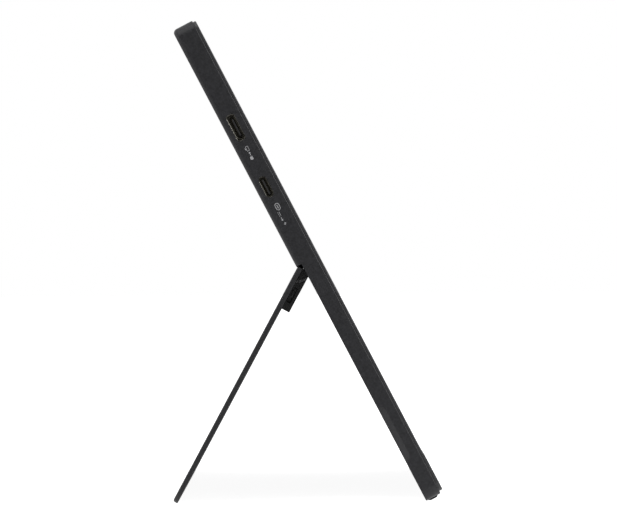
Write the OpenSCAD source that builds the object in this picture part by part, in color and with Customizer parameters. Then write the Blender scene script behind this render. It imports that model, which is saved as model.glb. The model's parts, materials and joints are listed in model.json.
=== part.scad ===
// Slim portable monitor with a full-width stand flap in the lower half of its back.
// Every piece of the display is drawn lying on its back: x across, y up the screen, z = depth from
// the rear face towards the viewer. display() then stands it up at its lean, and stand() opens the flap.

/* [Display body] */
// Corner radius seen from the front
corner_r = 5; // [4:0.1:9]
// Depth of the rear cover, from its rear face to its front lip
cover_d = 9.4; // [9.3:0.05:9.5]
// Thickness of the rear wall
rear_wall = 1.6; // [1.2:0.1:1.8]
// Thickness of the side walls
side_wall = 1.2; // [1:0.1:1.3]
// Radius of the rear edge
rear_edge_r = 1.9; // [1.4:0.1:2]
// Radius of the front lip
lip_r = 0.5; // [0.3:0.05:0.6]

/* [Front frame] */
// How far the bezel lies inside the outline of the rear cover
bezel_inset = 0.7; // [0.6:0.05:0.9]
// How far the bezel stands in front of the lip
bezel_rise = 1.3; // [1.2:0.05:1.5]
// Height of the chin above the bottom edge
chin_h = 18.1; // [16:0.1:20]
// How far the chin stands in front of the bezel
chin_rise = 0.25; // [0.1:0.05:0.5]
// Thickness of the bezel over the screen
bezel_t = 0.6; // [0.5:0.05:0.7]
// Radius of the bezel's front edge
bezel_edge_r = 0.5; // [0.3:0.05:0.6]
// Width of the skirt that the bezel pushes inside the rear cover
skirt_t = 0.9; // [0.7:0.1:1.1]

/* [Screen] */
// Width of the lit picture
picture_w = 344.16; // [310:0.1:344.2]
// Height of the lit picture
picture_h = 193.59; // [170:0.1:194]
// Width of the body's border beside the picture
side_border = 6.82; // [6:0.01:12]
// Height of the body's border above the picture
top_border = 7.3; // [7:0.1:14]
// Height of the body's border below the picture
low_border = 24.21; // [22:0.01:32]
// Gap between the picture and the bezel's window
window_gap = 0.7; // [0.4:0.1:1]
// How far the screen's tray reaches past the picture at both sides
tray_side = 3.25; // [2.8:0.05:3.5]
// How far the tray reaches above the picture
tray_above = 3.5; // [3:0.05:4]
// How far the tray reaches below the picture
tray_below = 19.1; // [18:0.1:20]

/* [Stand flap] */
// Lean of the display, away from the viewer
lean = 27.2; // [15:0.1:35]
// Height of the stand's recess in the back
recess_h = 112.9; // [100:0.1:120]
// Depth of the recess
recess_d = 2.48; // [2.4:0.02:2.6]
// Thickness of the wall at the bottom of the recess
recess_wall = 1.2; // [1:0.1:1.3]
// Thickness of the stand plate
plate_t = 2.2; // [2.1:0.05:2.25]
// Gap between the closed plate and the top of the recess
plate_gap = 0.45; // [0.3:0.05:0.6]
// Radius of the plate's outer side edges
plate_edge_r = 0.9; // [0.4:0.1:1]
// Radius of the plate's top edge, about the line that the plate turns on
pivot_r = 0.45; // [0.4:0.05:0.6]
// How far the closed plate ends above the bottom of the body
plate_low = 0.45; // [0.3:0.05:0.8]
// How far the rubber tip stands out of the plate's end
tip_rise = 0.25; // [0.15:0.05:0.3]
// Length of the rubber tip
tip_w = 300; // [240:1:320]

/* [Hinge] */
// Distance from the body's side to the outer end of each hinge housing
housing_side = 22.9; // [20:0.1:40]
// Length of each hinge housing
housing_w = 58; // [50:0.5:64]
// How far the housing reaches down the plate
housing_h = 18.6; // [18:0.1:22]
// Reach of the housing from the pivot line
housing_r = 5.5; // [5.45:0.01:5.55]
// Inner radius of the sliding arc
arc_r = 4.2; // [4.1:0.05:4.3]
// Thickness of the sliding arc and its leaf
arc_t = 1; // [0.9:0.05:1.1]
// Width of the sliding arc
arc_w = 9.9; // [8:0.1:11]
// Running clearance of the sliding arc
arc_gap = 0.05; // [0.03:0.01:0.08]
// Thickness of the fixed cheeks beside the arc
cheek_t = 1.3; // [1:0.1:1.5]
// Thickness of the housing's end wall
end_wall = 1.3; // [1.2:0.1:1.5]

/* [Sockets and buttons] */
// Height of the video socket
video_y = 176.5; // [170:0.1:182]
// Depth of the video socket
video_d = 4.7; // [4.6:0.05:4.8]
// Length of the video socket's metal rim
video_w = 10.9; // [10.5:0.1:11.2]
// Height of the video socket's metal rim
video_t = 2.9; // [2.7:0.1:3]
// Height of the oval socket
oval_y = 148.5; // [145:0.1:156]
// Depth of the oval socket
oval_d = 4.4; // [4.2:0.02:4.5]
// Length of the oval socket's metal rim
oval_w = 9; // [8.8:0.1:9.2]
// Height of the oval socket's metal rim
oval_t = 3; // [2.9:0.05:3.1]
// Thickness of the sockets' sheet metal
socket_wall = 0.3; // [0.2:0.05:0.35]
// Height of the audio jack
jack_y = 146; // [144:0.5:150]
// Bore radius of the audio jack
jack_r = 1.8; // [1.75:0.01:1.85]
// Height of the power button
power_y = 190; // [187:0.5:192]
// Length of the power button
power_w = 11; // [9:0.5:12]
// Height of the menu rocker
rocker_y = 168; // [166:0.5:170]
// Length of the menu rocker
rocker_w = 16; // [14:0.5:18]
// Height of both keys, front to back
key_t = 2.6; // [2.2:0.1:2.8]
// Gap around the keys
key_gap = 0.15; // [0.12:0.01:0.2]

/* [Feet and mounting] */
// How far the foot strips stand out of the bottom
foot_rise = 1.1; // [0.9:0.05:1.2]
// Length of each foot strip
foot_w = 70; // [50:1:80]
// Distance from the body's side to the end of each foot strip
foot_side = 13.9; // [10:0.1:30]
// Spacing of the square mounting pattern
mount_pitch = 75; // [74:1:76]
// Radius of the mounting thread
mount_r = 2; // [1.9:0.1:2]

/* [Hidden] */
$fn = 64;

body_black = "#343436";
metal_grey = "#a4a6a8";
dark_plastic = "#1c1c1e";
board_green = "#1f4a35";
far = 1; // how far a cutter reaches past a surface
join = 0.02; // how far two solids of one piece run into each other

// Overall sizes, half sizes and inner faces
body_w = picture_w + 2 * side_border;
body_h = picture_h + top_border + low_border;
half_w = body_w / 2;
inner_x = half_w - side_wall;
front_d = cover_d + bezel_rise;
chin_d = front_d + chin_rise;
floor_d = recess_d + recess_wall; // inner face of the recess wall
low_edge_r = 0.4; // radius of the rear edge below the recess
low_inset = bezel_inset + 0.4; // the front frame lies a little further in at the bottom
frame_w = body_w - 2 * bezel_inset;
frame_top = body_h - bezel_inset;
frame_r = corner_r - bezel_inset;
skirt_inset = side_wall + 0.1;
skirt_w = body_w - 2 * skirt_inset;
skirt_top = body_h - skirt_inset;
skirt_r = corner_r - skirt_inset;
skirt_d = cover_d - 1; // where the bezel's skirt ends inside the cover

// Layers of the screen, from the back
chassis_t = 0.5;
chassis_d = 6.5;
chassis_inset = side_wall + 0.3;
tray_d = chassis_d + chassis_t;
tray_floor = 0.3;
tray_wall = 0.8;
film_d = tray_d + tray_floor;
film_t = 0.15;
guide_t = 1;
diffuser_t = 0.3;
diffuser_d = film_d + film_t + guide_t;
cell_d = diffuser_d + diffuser_t;
cell_t = front_d - bezel_t - 0.05 - cell_d;
picture_y = low_border;
tray_w = picture_w + 2 * tray_side;
tray_h = tray_below + picture_h + tray_above;
tray_y = picture_y - tray_below;
tray_gap = 0.1; // play of the layers inside the tray
cell_border = 5; // the glass below the picture, which the chin covers
cell_y = picture_y - cell_border;
cell_w = tray_w - 2 * tray_wall - 2 * tray_gap;
cell_h = tray_y + tray_h - tray_wall - tray_gap - cell_y;

guide_low = 3.5; // how far the guide reaches below the picture, and above it
guide_high = 1.5;
guide_y = picture_y - guide_low;
guide_border = 1.4; // the light guide's edge round the picture
strip_w = picture_w - 6;
strip_h = 2;
strip_t = 0.25;
lamp_n = 24;
lamp = [3, 0.8, 0.7];
driver_w = 250;
driver_h = 8.6;
driver_t = 0.6;
driver_chips = [-90, -54, -18, 18, 54, 90];
driver_chip = [10, 3, 0.7];

// The line that the stand turns on, and the angle at which its tip and the feet share the floor
pivot_y = recess_h - plate_gap - pivot_r;
pivot_d = pivot_r;
plate_w = plate_t - pivot_d; // plate's inner face from the pivot line
foot_d = recess_d + 1; // depth where the foot's resting face starts
foot_x = half_w - foot_side - foot_w / 2;
foot_span = 4.4; // depth that a foot strip covers
foot_sink = 0.6; // how deep it is let into the bottom wall
foot_flat = 0.9; // width of its resting face, front to back
foot_back = foot_rise - foot_flat * tan(lean);
foot_z = foot_d * sin(lean) - foot_back * cos(lean);
tip_r = 0.5;
tip_y = plate_low - tip_rise;
tip_u = pivot_y - tip_y - tip_r;
tip_v = plate_w - tip_r;
tip_h = 3; // height of the rubber tip along the plate
tip_floor = 1; // plate's thickness behind it
pivot_z = pivot_y * cos(lean) + pivot_d * sin(lean) - foot_z;
plate_lean = atan2(tip_v, tip_u) + acos((pivot_z - tip_r) / norm([tip_u, tip_v]));
stand_open = lean + plate_lean;

// Middle of the overall size, front to back, so that the origin is under the middle
chin_corner_y = (low_inset + bezel_edge_r) * sin(lean) - (chin_d - bezel_edge_r) * cos(lean) - bezel_edge_r;
top_corner_y = (body_h - rear_edge_r) * sin(lean) - rear_edge_r * cos(lean) + rear_edge_r;
plate_end_u = pivot_y - plate_low - plate_edge_r;
plate_end_y = pivot_y * sin(lean) - pivot_d * cos(lean) + plate_end_u * sin(plate_lean)
    - (plate_edge_r - pivot_d) * cos(plate_lean) + plate_edge_r;
middle_y = (chin_corner_y + max(top_corner_y, plate_end_y)) / 2;

// Hinge
housing_x = half_w - housing_side; // outer end of each housing
cheek_r = arc_r + arc_t + 1;
rail_r = arc_r + arc_t + arc_gap;
saddle_r = arc_r - arc_gap;
plate_clear = 0.2; // fixed steel stays this far from the closed plate
module_gap = 0.15;
// Lugs of the fixed base that close the gap above the open flap
lug_in = 0.75; // how far they keep from the pivot line
lug_low = 1.1;
lug_top_gap = 0.05;
lug_high = recess_h - pivot_y - lug_top_gap;
lug_depth = 1.3; // how deep they reach into the plate's slots
lug_out = plate_w - lug_depth;
lug_gap = 0.2;
module_w = arc_w + 2 * arc_gap + 2 * cheek_t;
module_x = housing_x - end_wall - module_gap - module_w; // inner end of the fixed base
cheek_at = [module_x, module_x + module_w - cheek_t];
arc_x = module_x + cheek_t + arc_gap;
base_low = 4.2;
base_high = 6.6;
flange_h = 10.8;
flange_t = 1;
leaf_h = 17;
notch_h = 7;
pocket_gap = 0.4;
pocket_low_gap = 1; // more room below, where the housing's corner swings past
pocket_wall = 1.1;
pocket_top_t = 2.2;
sector_end = 95; // how far round the housing's nose goes
nose_r = housing_r - 0.15;
groove_depth = 0.6;
// Window, slot and boss in the housing's end: distances from the pivot line and sizes
window_at = [11.4, 3.1];
window = [7.2, 1.8];
window_depth = 0.7;
slot_at = [13.6, 3];
slot = [2, 1.7];
slot_depth = 2.2;
boss_at = [10, 3.1];
boss = [4, 1];
boss_rise = 0.4;
screw_r = 1;
screw_head_r = 1.8;
screw_clear = 0.1;
leaf_screws = [9.2, 13.8]; // distances below the pivot line
leaf_screw_in = 1.4; // depth of their holes in the plate
flange_screws = [10, 14.2]; // distances above the pivot line

// Boards and what is on them
board_t = 0.8;
post_r = 2.2;
main_d = 5;
main_x0 = -half_w + side_wall + 1.4;
main_w = 126;
main_low = 19; // how far the main board starts above the pivot line
main_y0 = pivot_y + main_low;
main_h = 68;
main_screws = [[8, 6], [118, 6], [30, 62], [118, 62]];
button_d = chassis_d - board_t;
button_y0 = 139;
button_h = 59;
button_x1 = half_w - 4.4;
button_w = 11.5;
switch_d = 4.2; // depth of the middle of the keys
switch = [3.6, 4.4, 2.8];
plunger = [0.8, 1.4, 1.2];
switch_end = 2.6; // the rocker's switches lie this far inside its ends
switch_at = [power_y, rocker_y - rocker_w / 2 + switch_end, rocker_y + rocker_w / 2 - switch_end];
rocker_x = half_w - 3.4; // line that the rocker tilts on
lug_t = 1.6; // thickness of the rocker's lug between the ears
ear_gap = 0.1;
ear_t = 0.6;
ear_r = 0.9;
ear_out = lug_t / 2 + ear_gap; // from the middle of the keys to the near face of each ear
pin_r = 0.5;
pin_gap = 0.05;
post_x = button_x1 - 3;
key_in = 0.05; // keys end just inside the cover's side
key_flange_t = 0.6;
key_flange = 1.2; // how much wider and longer the flange is than the key
key_flange_long = 1.4;
key_flange_r = 0.5;
power_flange = 0.7; // from the cover's inner face to the back of each flange
rocker_flange = 1.1;
power_play = 0.4; // from the switches' plungers to the keys' studs
rocker_play = 0.35;
jack_len = 12;
jack_wall = 0.5;
jack_box = [jack_len, 6, 4.6];
jack_box_d = 1.9;
jack_back = 0.3; // gap between the jack's body and the cover's side
connector_h = 0.6;
shield = [34, 26, 2.3];
shield_at = [42, 10];
shield_t = 0.2;
shield_hole_r = 0.8;
shield_pitch = 5;
// chips, coils and sockets on the main board: place on the board, size and height
main_chips = [[46, 48, 12, 12, 1.1], [66, 46, 9, 9, 1.4], [84, 50, 8, 12, 1], [100, 30, 7, 7, 2.4],
    [100, 42, 5, 5, 1.8], [20, 12, 8, 8, 1.2], [86, 12, 14, 5, 2]];

// Sockets: how far the rims lie inside the side, their length, back wall, tongues and room in the board
socket_in = 0.35;
socket_len = 7.6;
socket_back = 0.6;
socket_room = 7;
socket_gap = 0.3;
tongue_in = 0.75;
tongue_end = socket_len - socket_back;
tongue_t = 0.7;
video_tongue_w = 7.6;
video_tongue_d = video_d + 0.3;
video_cut = 1.1; // bevelled corners of the video socket
oval_tongue_w = 6.7;
leg_at = 4; // legs that hold the sockets on the board: distance from the side, width and reach
leg_w = 2;
leg_out = 1.2;
leg_in = 0.25; // how far they start inside the rim

// Square pattern of threaded inserts, centred in the upper half of the back
mount_y = (recess_h + body_h) / 2;
insert_r = 3.3;
insert_lip = 0.35; // inserts end this far below the rear face
insert_neck_r = insert_r - 0.9; // where they are pressed into the chassis
insert_floor = 0.8;
mount_at = [for (sx = [-1, 1], sy = [-1, 1]) [sx * mount_pitch / 2, mount_y + sy * mount_pitch / 2]];

// Ribs inside the upper wall, and collars round the inserts
rib_t = 1;
rib_h = 0.8;
rib_pitch = 30;
rib_over = 5; // how far the cross ribs run past the last upright one
rib_room = 1; // least distance from a rib's end to the audio jack
rib_n = floor((half_w - jack_len - rib_over - rib_room) / rib_pitch); // ribs on each side of the middle one
rib_foot = 8;
rib_low = recess_h + rib_foot;
rib_high = body_h - side_wall;
rib_rows = 3;
rib_reach = rib_n * rib_pitch + rib_over;
collar_t = 1;

// Screws that hold the cover to the chassis, hidden under the closed plate
cover_screw_side = 8;
side_screw_y = [10, 70];
inner_screws = [[14, 30], [40, 96]];
cover_screw_at = [for (sx = [-1, 1]) each [for (y = side_screw_y) [sx * (half_w - cover_screw_side), y],
    for (at = inner_screws) [sx * at[0], at[1]]]];
boss_r = 2.9;
cover_screw_in = 0.3; // their heads lie this far below the recess
cover_head_t = 1;
head_t = 0.6;

// Magnets that hold the flap shut
magnet_r = 4;
plate_magnet_t = 1.2;
body_magnet_t = 1.7;
magnet_side = 78.9;
magnet_x = half_w - magnet_side;
magnet_y = 16;

// Speakers behind the bottom edge
speaker_x = 43;
speaker_w = 46;
speaker_h = 12;
cone_margin = [14, 5]; // how much shorter and lower the cone's opening is than the speaker
speaker_y = side_wall + 1.4;
slot_n = 8;
slot_pitch = 5.6;
slot_w = 4;
slot_t = 1.1;
slot_d = 5.2;

// Finger scoops in both sides
scoop_y = 18.6;
scoop_h = 26.1;
scoop_d = 5.3;
scoop_slope = 48;
scoop_r = 2.6;
scoop_wall = 4.2;

cable_t = 0.2;
cable_d = chassis_d - 0.45;
panel_cable_w = 12;
panel_cable_x = -80;
panel_cable_y = 12;
cable_slot = [panel_cable_w + 2 * far, 6]; // opening for it in the chassis and the tray
cable_slot_y = panel_cable_y - 4;
button_cable_w = 6;
button_cable_y = 182;
edge_connector = 1; // flat connectors lie this far inside a board's edge
wire_r = 0.45;
wire_d = 5.9;
wire_x = 54;
wire_rise = 10; // from the speakers up to where the wires turn

// ---- Placing ----

module display()
    translate([0, -middle_y, -foot_z]) rotate([90 - lean, 0, 0]) children();

// Pieces of the flap are drawn closed and turned open about the pivot line
module stand()
    display() translate([0, pivot_y, pivot_d]) rotate([stand_open, 0, 0]) translate([0, -pivot_y, -pivot_d])
        children();

// A section drawn in y and depth, drawn out along x
module along_x(x0, length)
    translate([x0, 0, 0]) rotate([90, 0, 90]) linear_extrude(length) children();

// The same about the pivot line: first axis up the back, second axis towards the viewer
module about_pivot(x0, length)
    along_x(x0, length) translate([pivot_y, pivot_d]) children();

// Both hinge sides share one drawing, made for the right side
module on_side(side)
    if (side > 0) children(); else mirror([1, 0, 0]) children();

// ---- Shared forms ----

// Section of a slab's edge: from its corner centre to its face, with both arrises rounded
module edge_section(r, d0, d1, r0, r1) {
    translate([0, d0 + r0]) square([r, d1 - d0 - r0 - r1]);
    translate([0, d0]) square([r - r0, r0 + join]);
    translate([0, d1 - r1 - join]) square([r - r1, r1 + join]);
    if (r0 > 0) translate([r - r0, d0 + r0]) circle(r0);
    if (r1 > 0) translate([r - r1, d1 - r1]) circle(r1);
}

// Slab with round corners in plan and rounded edges, between two depths
module slab(w, y0, y1, r, d0, d1, r0 = 0, r1 = 0) {
    spans = [y1 - y0 - 2 * r, w - 2 * r];
    for (k = [0:3]) {
        sx = k == 0 || k == 3 ? 1 : -1;
        sy = k < 2 ? y1 - r : y0 + r;
        translate([sx * (w / 2 - r), sy, 0]) rotate([0, 0, 90 * k]) {
            rotate_extrude(angle = 90) edge_section(r, d0, d1, r0, r1);
            rotate([90, 0, 0]) linear_extrude(spans[k % 2]) edge_section(r, d0, d1, r0, r1);
        }
    }
    translate([-w / 2 + r - join, y0 + r - join, d0])
        cube([w - 2 * r + 2 * join, y1 - y0 - 2 * r + 2 * join, d1 - d0]);
}

module stadium(length, width) {
    for (s = [-1, 1]) translate([s * (length - width) / 2, 0]) circle(width / 2);
    square([length - width, width], center = true);
}

module soft_rectangle(length, width, r) {
    square([length - 2 * r, width], center = true);
    square([length, width - 2 * r], center = true);
    for (sx = [-1, 1], sy = [-1, 1]) translate([sx * (length / 2 - r), sy * (width / 2 - r)]) circle(r);
}

module screw(head_r, head_t, r, length) {
    difference() {
        cylinder(r = head_r, h = head_t);
        translate([0, 0, -far]) cylinder(r = r * 0.6, h = far + head_t / 2, $fn = 6);
    }
    cylinder(r = r, h = length);
}

// ---- Rear cover ----

module cover_outside() {
    difference() {
        slab(body_w, 0, body_h, corner_r, 0, cover_d, rear_edge_r, lip_r);
        translate([-body_w, -far, -far]) cube([2 * body_w, recess_h + far, cover_d + 2 * far]);
    }
    slab(body_w, 0, body_h, corner_r, recess_d, cover_d, low_edge_r, lip_r);
}

module cover_inside() {
    r = corner_r - side_wall;
    w = body_w - 2 * side_wall;
    slab(w, side_wall, body_h - side_wall, r, floor_d, cover_d + far);
    difference() {
        slab(w, side_wall, body_h - side_wall, r, rear_wall, cover_d);
        translate([-body_w, -far, -far]) cube([2 * body_w, recess_h + side_wall + far, cover_d + 2 * far]);
    }
}

// Space in the cover that the hinge housing folds into
module hinge_pocket(grow, d0, d1) {
    low = pivot_y - housing_h - pocket_low_gap - grow;
    translate([housing_x - housing_w - pocket_gap - grow, low, d0])
        cube([housing_w + 2 * pocket_gap + 2 * grow, recess_h - low, d1 - d0]);
}

module pocket_walls() {
    hinge_pocket(pocket_wall, recess_d, chassis_d);
    translate([housing_x - housing_w - pocket_gap - pocket_wall, recess_h, rear_wall / 2])
        cube([housing_w + 2 * pocket_gap + 2 * pocket_wall, pocket_top_t, chassis_d - rear_wall / 2]);
}

module pocket_cut() {
    hinge_pocket(0, recess_d - far, chassis_d + far);
    about_pivot(housing_x - housing_w - pocket_gap, housing_w + 2 * pocket_gap)
        intersection() {
            circle(housing_r + pocket_gap / 2);
            translate([-body_w / 2, rear_wall - pivot_d]) square([body_w, chassis_d]);
        }
    translate([module_x - module_gap, recess_h - far, rear_wall])
        cube([module_w + 2 * module_gap + far / 2, pocket_top_t + 2 * far, chassis_d]);
}

module finger_scoop()
    translate([half_w, scoop_y + scoop_h / 2, scoop_d]) mirror([1, 0, 0]) rotate([0, scoop_slope, 0])
        translate([0, 0, -recess_d * 3]) linear_extrude(recess_d * 3)
            translate([scoop_r * 2, 0]) union() {
                soft_rectangle(scoop_r * 4, scoop_h, scoop_r);
                translate([0, -scoop_h / 2]) square([scoop_r * 4, scoop_h]);
            }

module side_window(x0, y, d, length, width, r)
    translate([x0 - far, y, d]) rotate([90, 0, 90]) linear_extrude(side_wall + 2 * far)
        soft_rectangle(length, width, r);

module key_recess(y, length)
    translate([half_w - 0.5, y, switch_d]) rotate([90, 0, 90]) linear_extrude(far)
        stadium(length + 3, key_t + 1.6);

module key_hole(y, length)
    translate([inner_x - far, y, switch_d]) rotate([90, 0, 90]) linear_extrude(side_wall + 2 * far)
        stadium(length + 2 * key_gap, key_t + 2 * key_gap);

module cover_ribs() translate([0, 0, rear_wall - join]) {
    for (k = [-rib_n:rib_n]) translate([k * rib_pitch - rib_t / 2, rib_low, 0])
        cube([rib_t, rib_high - rib_low, rib_h + join]);
    for (k = [1:rib_rows])
        translate([-rib_reach, rib_low + k * (rib_high - rib_low) / (rib_rows + 1) - rib_t / 2, 0])
            cube([2 * rib_reach, rib_t, rib_h + join]);
    for (at = mount_at) translate([at[0], at[1], 0])
        cylinder(r = insert_r + screw_clear + collar_t, h = rib_h + join);
}

module rear_cover() color(body_black) display() difference() {
    union() {
        cover_ribs();
        difference() {
            cover_outside();
            cover_inside();
        }
        for (side = [-1, 1]) on_side(side) pocket_walls();
        for (at = cover_screw_at) translate([at[0], at[1], floor_d - join])
            cylinder(r = boss_r, h = chassis_d - floor_d + join);
        for (side = [-1, 1]) on_side(side)
            translate([inner_x - scoop_wall, scoop_y - side_wall, floor_d - join])
                cube([scoop_wall + join, scoop_h + 2 * side_wall, chassis_d - floor_d]);
        for (sx = [-1, 1]) translate([sx * magnet_x, magnet_y, floor_d - join])
            cylinder(r = magnet_r + 1, h = body_magnet_t - 0.4);
    }
    for (side = [-1, 1]) on_side(side) {
        pocket_cut();
        finger_scoop();
    }
    side_window(-half_w, video_y, video_d, video_w + 1.1, video_t + 0.9, 0.9);
    side_window(-half_w, oval_y, oval_d, oval_w + 0.5, oval_t + 0.5, (oval_t + 0.5) / 2 - 0.01);
    key_recess(power_y, power_w);
    key_recess(rocker_y, rocker_w);
    key_hole(power_y, power_w);
    key_hole(rocker_y, rocker_w);
    translate([inner_x - far, jack_y, switch_d]) rotate([0, 90, 0])
        cylinder(r = jack_r + jack_wall + 0.1, h = side_wall + 2 * far);
    for (at = mount_at) translate([at[0], at[1], -far])
        cylinder(r = insert_r + screw_clear, h = rear_wall + 2 * far);
    for (at = cover_screw_at) translate([at[0], at[1], 0]) {
        cylinder(r = screw_r + screw_clear, h = chassis_d + far);
        cylinder(r = screw_head_r + screw_clear, h = recess_d + cover_screw_in + cover_head_t);
    }
    for (sx = [-1, 1]) translate([sx * magnet_x, magnet_y, floor_d])
        cylinder(r = magnet_r + 0.1, h = body_magnet_t);
    for (sx = [-1, 1], k = [0:slot_n - 1])
        translate([sx * speaker_x + (k - (slot_n - 1) / 2) * slot_pitch, -far, slot_d]) rotate([-90, 0, 0])
            linear_extrude(side_wall + 2 * far) stadium(slot_w, slot_t);
    for (sx = [-1, 1]) translate([sx * foot_x - foot_w / 2 - 0.1, -far, foot_d - 0.1])
        cube([foot_w + 0.2, far + foot_sink, foot_span + 0.2]);
}

// ---- Front frame and screen ----

module front_bezel() color(body_black) display() difference() {
    union() {
        slab(frame_w, low_inset, frame_top, frame_r, cover_d, front_d, 0, bezel_edge_r);
        slab(skirt_w, skirt_inset, skirt_top, skirt_r, skirt_d, cover_d + join);
    }
    translate([-body_w, -far, 0]) cube([2 * body_w, chin_h + far, front_d + far]);
    slab(skirt_w - 2 * skirt_t, skirt_inset - corner_r, skirt_top - skirt_t, skirt_r - skirt_t,
        0, front_d - bezel_t);
    translate([-picture_w / 2 - window_gap, picture_y - window_gap, 0])
        cube([picture_w + 2 * window_gap, picture_h + 2 * window_gap, front_d + far]);
}

module front_chin() color(body_black) display() difference() {
    union() {
        slab(frame_w, low_inset, frame_top, frame_r, cover_d, chin_d, 0, bezel_edge_r);
        slab(skirt_w, skirt_inset, skirt_top, skirt_r, skirt_d, cover_d + join);
    }
    translate([-body_w, chin_h - 0.1, 0]) cube([2 * body_w, body_h, chin_d + far]);
    slab(skirt_w - 2 * skirt_t, skirt_inset + skirt_t, skirt_top, skirt_r - skirt_t, 0, front_d - bezel_t);
}

module cell_glass() color("#101114") display()
    translate([-cell_w / 2, cell_y, cell_d]) cube([cell_w, cell_h, cell_t]);

module layer(d, t)
    translate([-picture_w / 2 - guide_border + tray_gap, guide_y, d])
        cube([picture_w + 2 * guide_border - 2 * tray_gap, picture_h + guide_low + guide_high, t]);

module diffuser_film() color("#e8e8ea") display() layer(diffuser_d, diffuser_t);

module light_guide() color("#dfe6ea") display() layer(film_d + film_t, guide_t);

module reflector_film() color("#f4f4f4") display() layer(film_d, film_t);

module cable_opening(depth)
    translate([panel_cable_x - far, cable_slot_y, 0]) linear_extrude(depth) square(cable_slot);

module panel_tray() color(metal_grey) display() difference() {
    translate([-tray_w / 2, tray_y, tray_d]) cube([tray_w, tray_h, cell_d + cell_t - 0.05 - tray_d]);
    translate([-tray_w / 2 + tray_wall, tray_y + tray_wall, film_d])
        cube([tray_w - 2 * tray_wall, tray_h - 2 * tray_wall, front_d]);
    cable_opening(tray_d + far);
}

module panel_mid_frame() color("#2a2a2c") display() difference() {
    guide_top = guide_y + picture_h + guide_low + guide_high;
    translate([-cell_w / 2, cell_y, film_d]) cube([cell_w, cell_h, cell_d - film_d]);
    translate([-picture_w / 2 - guide_border, cell_y - far, 0])
        cube([picture_w + 2 * guide_border, guide_top + tray_gap - cell_y + far, front_d]);
}

// Lamps that shine into the lower edge of the light guide
module light_strip() color("#e9e4c8") display() {
    lamp_y = guide_y - 0.5 - lamp[1];
    translate([-strip_w / 2, lamp_y + lamp[1] - strip_h, film_d]) cube([strip_w, strip_h, strip_t]);
    for (k = [0:lamp_n - 1])
        translate([((k + 0.5) / lamp_n - 0.5) * strip_w - lamp[0] / 2, lamp_y, film_d + strip_t]) cube(lamp);
}

module driver_board() color(board_green) display() {
    y0 = tray_y + tray_wall + 0.3;
    translate([-driver_w / 2, y0, film_d]) cube([driver_w, driver_h, driver_t]);
    for (x = driver_chips) translate([x - driver_chip[0] / 2, y0 + 2.3, film_d + driver_t]) cube(driver_chip);
}

module chassis_plate() color(metal_grey) display() difference() {
    union() {
        slab(body_w - 2 * chassis_inset, chassis_inset, body_h - chassis_inset, corner_r - chassis_inset,
            chassis_d, chassis_d + chassis_t);
        for (at = main_screws) translate([main_x0 + at[0], main_y0 + at[1], main_d + board_t])
            cylinder(r = post_r, h = chassis_d - main_d - board_t);
    }
    for (at = main_screws) translate([main_x0 + at[0], main_y0 + at[1], 0])
        cylinder(r = screw_r, h = front_d);
    for (at = cover_screw_at) translate([at[0], at[1], 0]) cylinder(r = screw_r, h = front_d);
    for (side = [-1, 1], dy = flange_screws)
        translate([side * (module_x + module_w / 2), pivot_y + dy, 0]) cylinder(r = screw_r, h = front_d);
    for (at = mount_at) translate([at[0], at[1], 0]) cylinder(r = insert_neck_r, h = front_d);
    cable_opening(front_d);
}

// ---- Boards ----

module main_board() color(board_green) display() difference() {
    union() {
        translate([main_x0, main_y0, main_d]) cube([main_w, main_h, board_t]);
        for (chip = main_chips) translate([main_x0 + chip[0], main_y0 + chip[1], main_d - chip[4]])
            cube([chip[2], chip[3], chip[4] + join]);
        // flat connectors on the front side
        translate([panel_cable_x - 1, main_y0 + 1, main_d + board_t - join])
            cube([panel_cable_w + 2, 4, connector_h + join]);
        translate([main_x0 + main_w - edge_connector - 4, button_cable_y - 1, main_d + board_t - join])
            cube([4, button_cable_w + 2, connector_h + join]);
    }
    for (at = [[video_y, video_w], [oval_y, oval_w]])
        translate([main_x0 - far, at[0] - at[1] / 2 - socket_gap, 0])
            cube([socket_room + far, at[1] + 2 * socket_gap, front_d]);
    for (at = main_screws) translate([main_x0 + at[0], main_y0 + at[1], 0])
        cylinder(r = screw_r + screw_clear, h = front_d);
}

module board_shield() color(metal_grey) display()
    translate([main_x0 + shield_at[0], main_y0 + shield_at[1], main_d - shield[2]]) difference() {
        cube(shield);
        translate([shield_t, shield_t, shield_t])
            cube([shield[0] - 2 * shield_t, shield[1] - 2 * shield_t, shield[2]]);
        for (kx = [1:6], ky = [1:5]) translate([kx * shield_pitch, (ky - 0.2) * shield_pitch - far, -far])
            cylinder(r = shield_hole_r, h = 2 * far);
    }

// Video socket: a long rim with both rear corners cut off
module video_outline(inset) {
    w = video_w / 2 - inset;
    t = video_t / 2 - inset;
    polygon([[-w + video_cut, -t], [w - video_cut, -t], [w, -t + video_cut], [w, t], [-w, t],
        [-w, -t + video_cut]]);
}

// Drawn out inwards from the left side
module from_left(y, d, inset)
    translate([-half_w + inset, y, d]) rotate([90, 0, 90]) children();

module socket_legs(y, length) for (s = [-1, 1])
    translate([-half_w + leg_at, y + s * (length + leg_out - leg_in) / 2, main_d - socket_wall])
        translate([0, -(leg_out + leg_in) / 2, 0]) cube([leg_w, leg_out + leg_in, socket_wall]);

module video_socket_shell() color(metal_grey) display() {
    from_left(video_y, video_d, socket_in) difference() {
        linear_extrude(socket_len) video_outline(0);
        translate([0, 0, -far]) linear_extrude(tongue_end + far) video_outline(socket_wall);
    }
    socket_legs(video_y, video_w);
}

module video_socket_tongue() color(dark_plastic) display()
    from_left(video_y, video_tongue_d, socket_in + tongue_in)
        linear_extrude(tongue_end - tongue_in) square([video_tongue_w, tongue_t], center = true);

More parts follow.
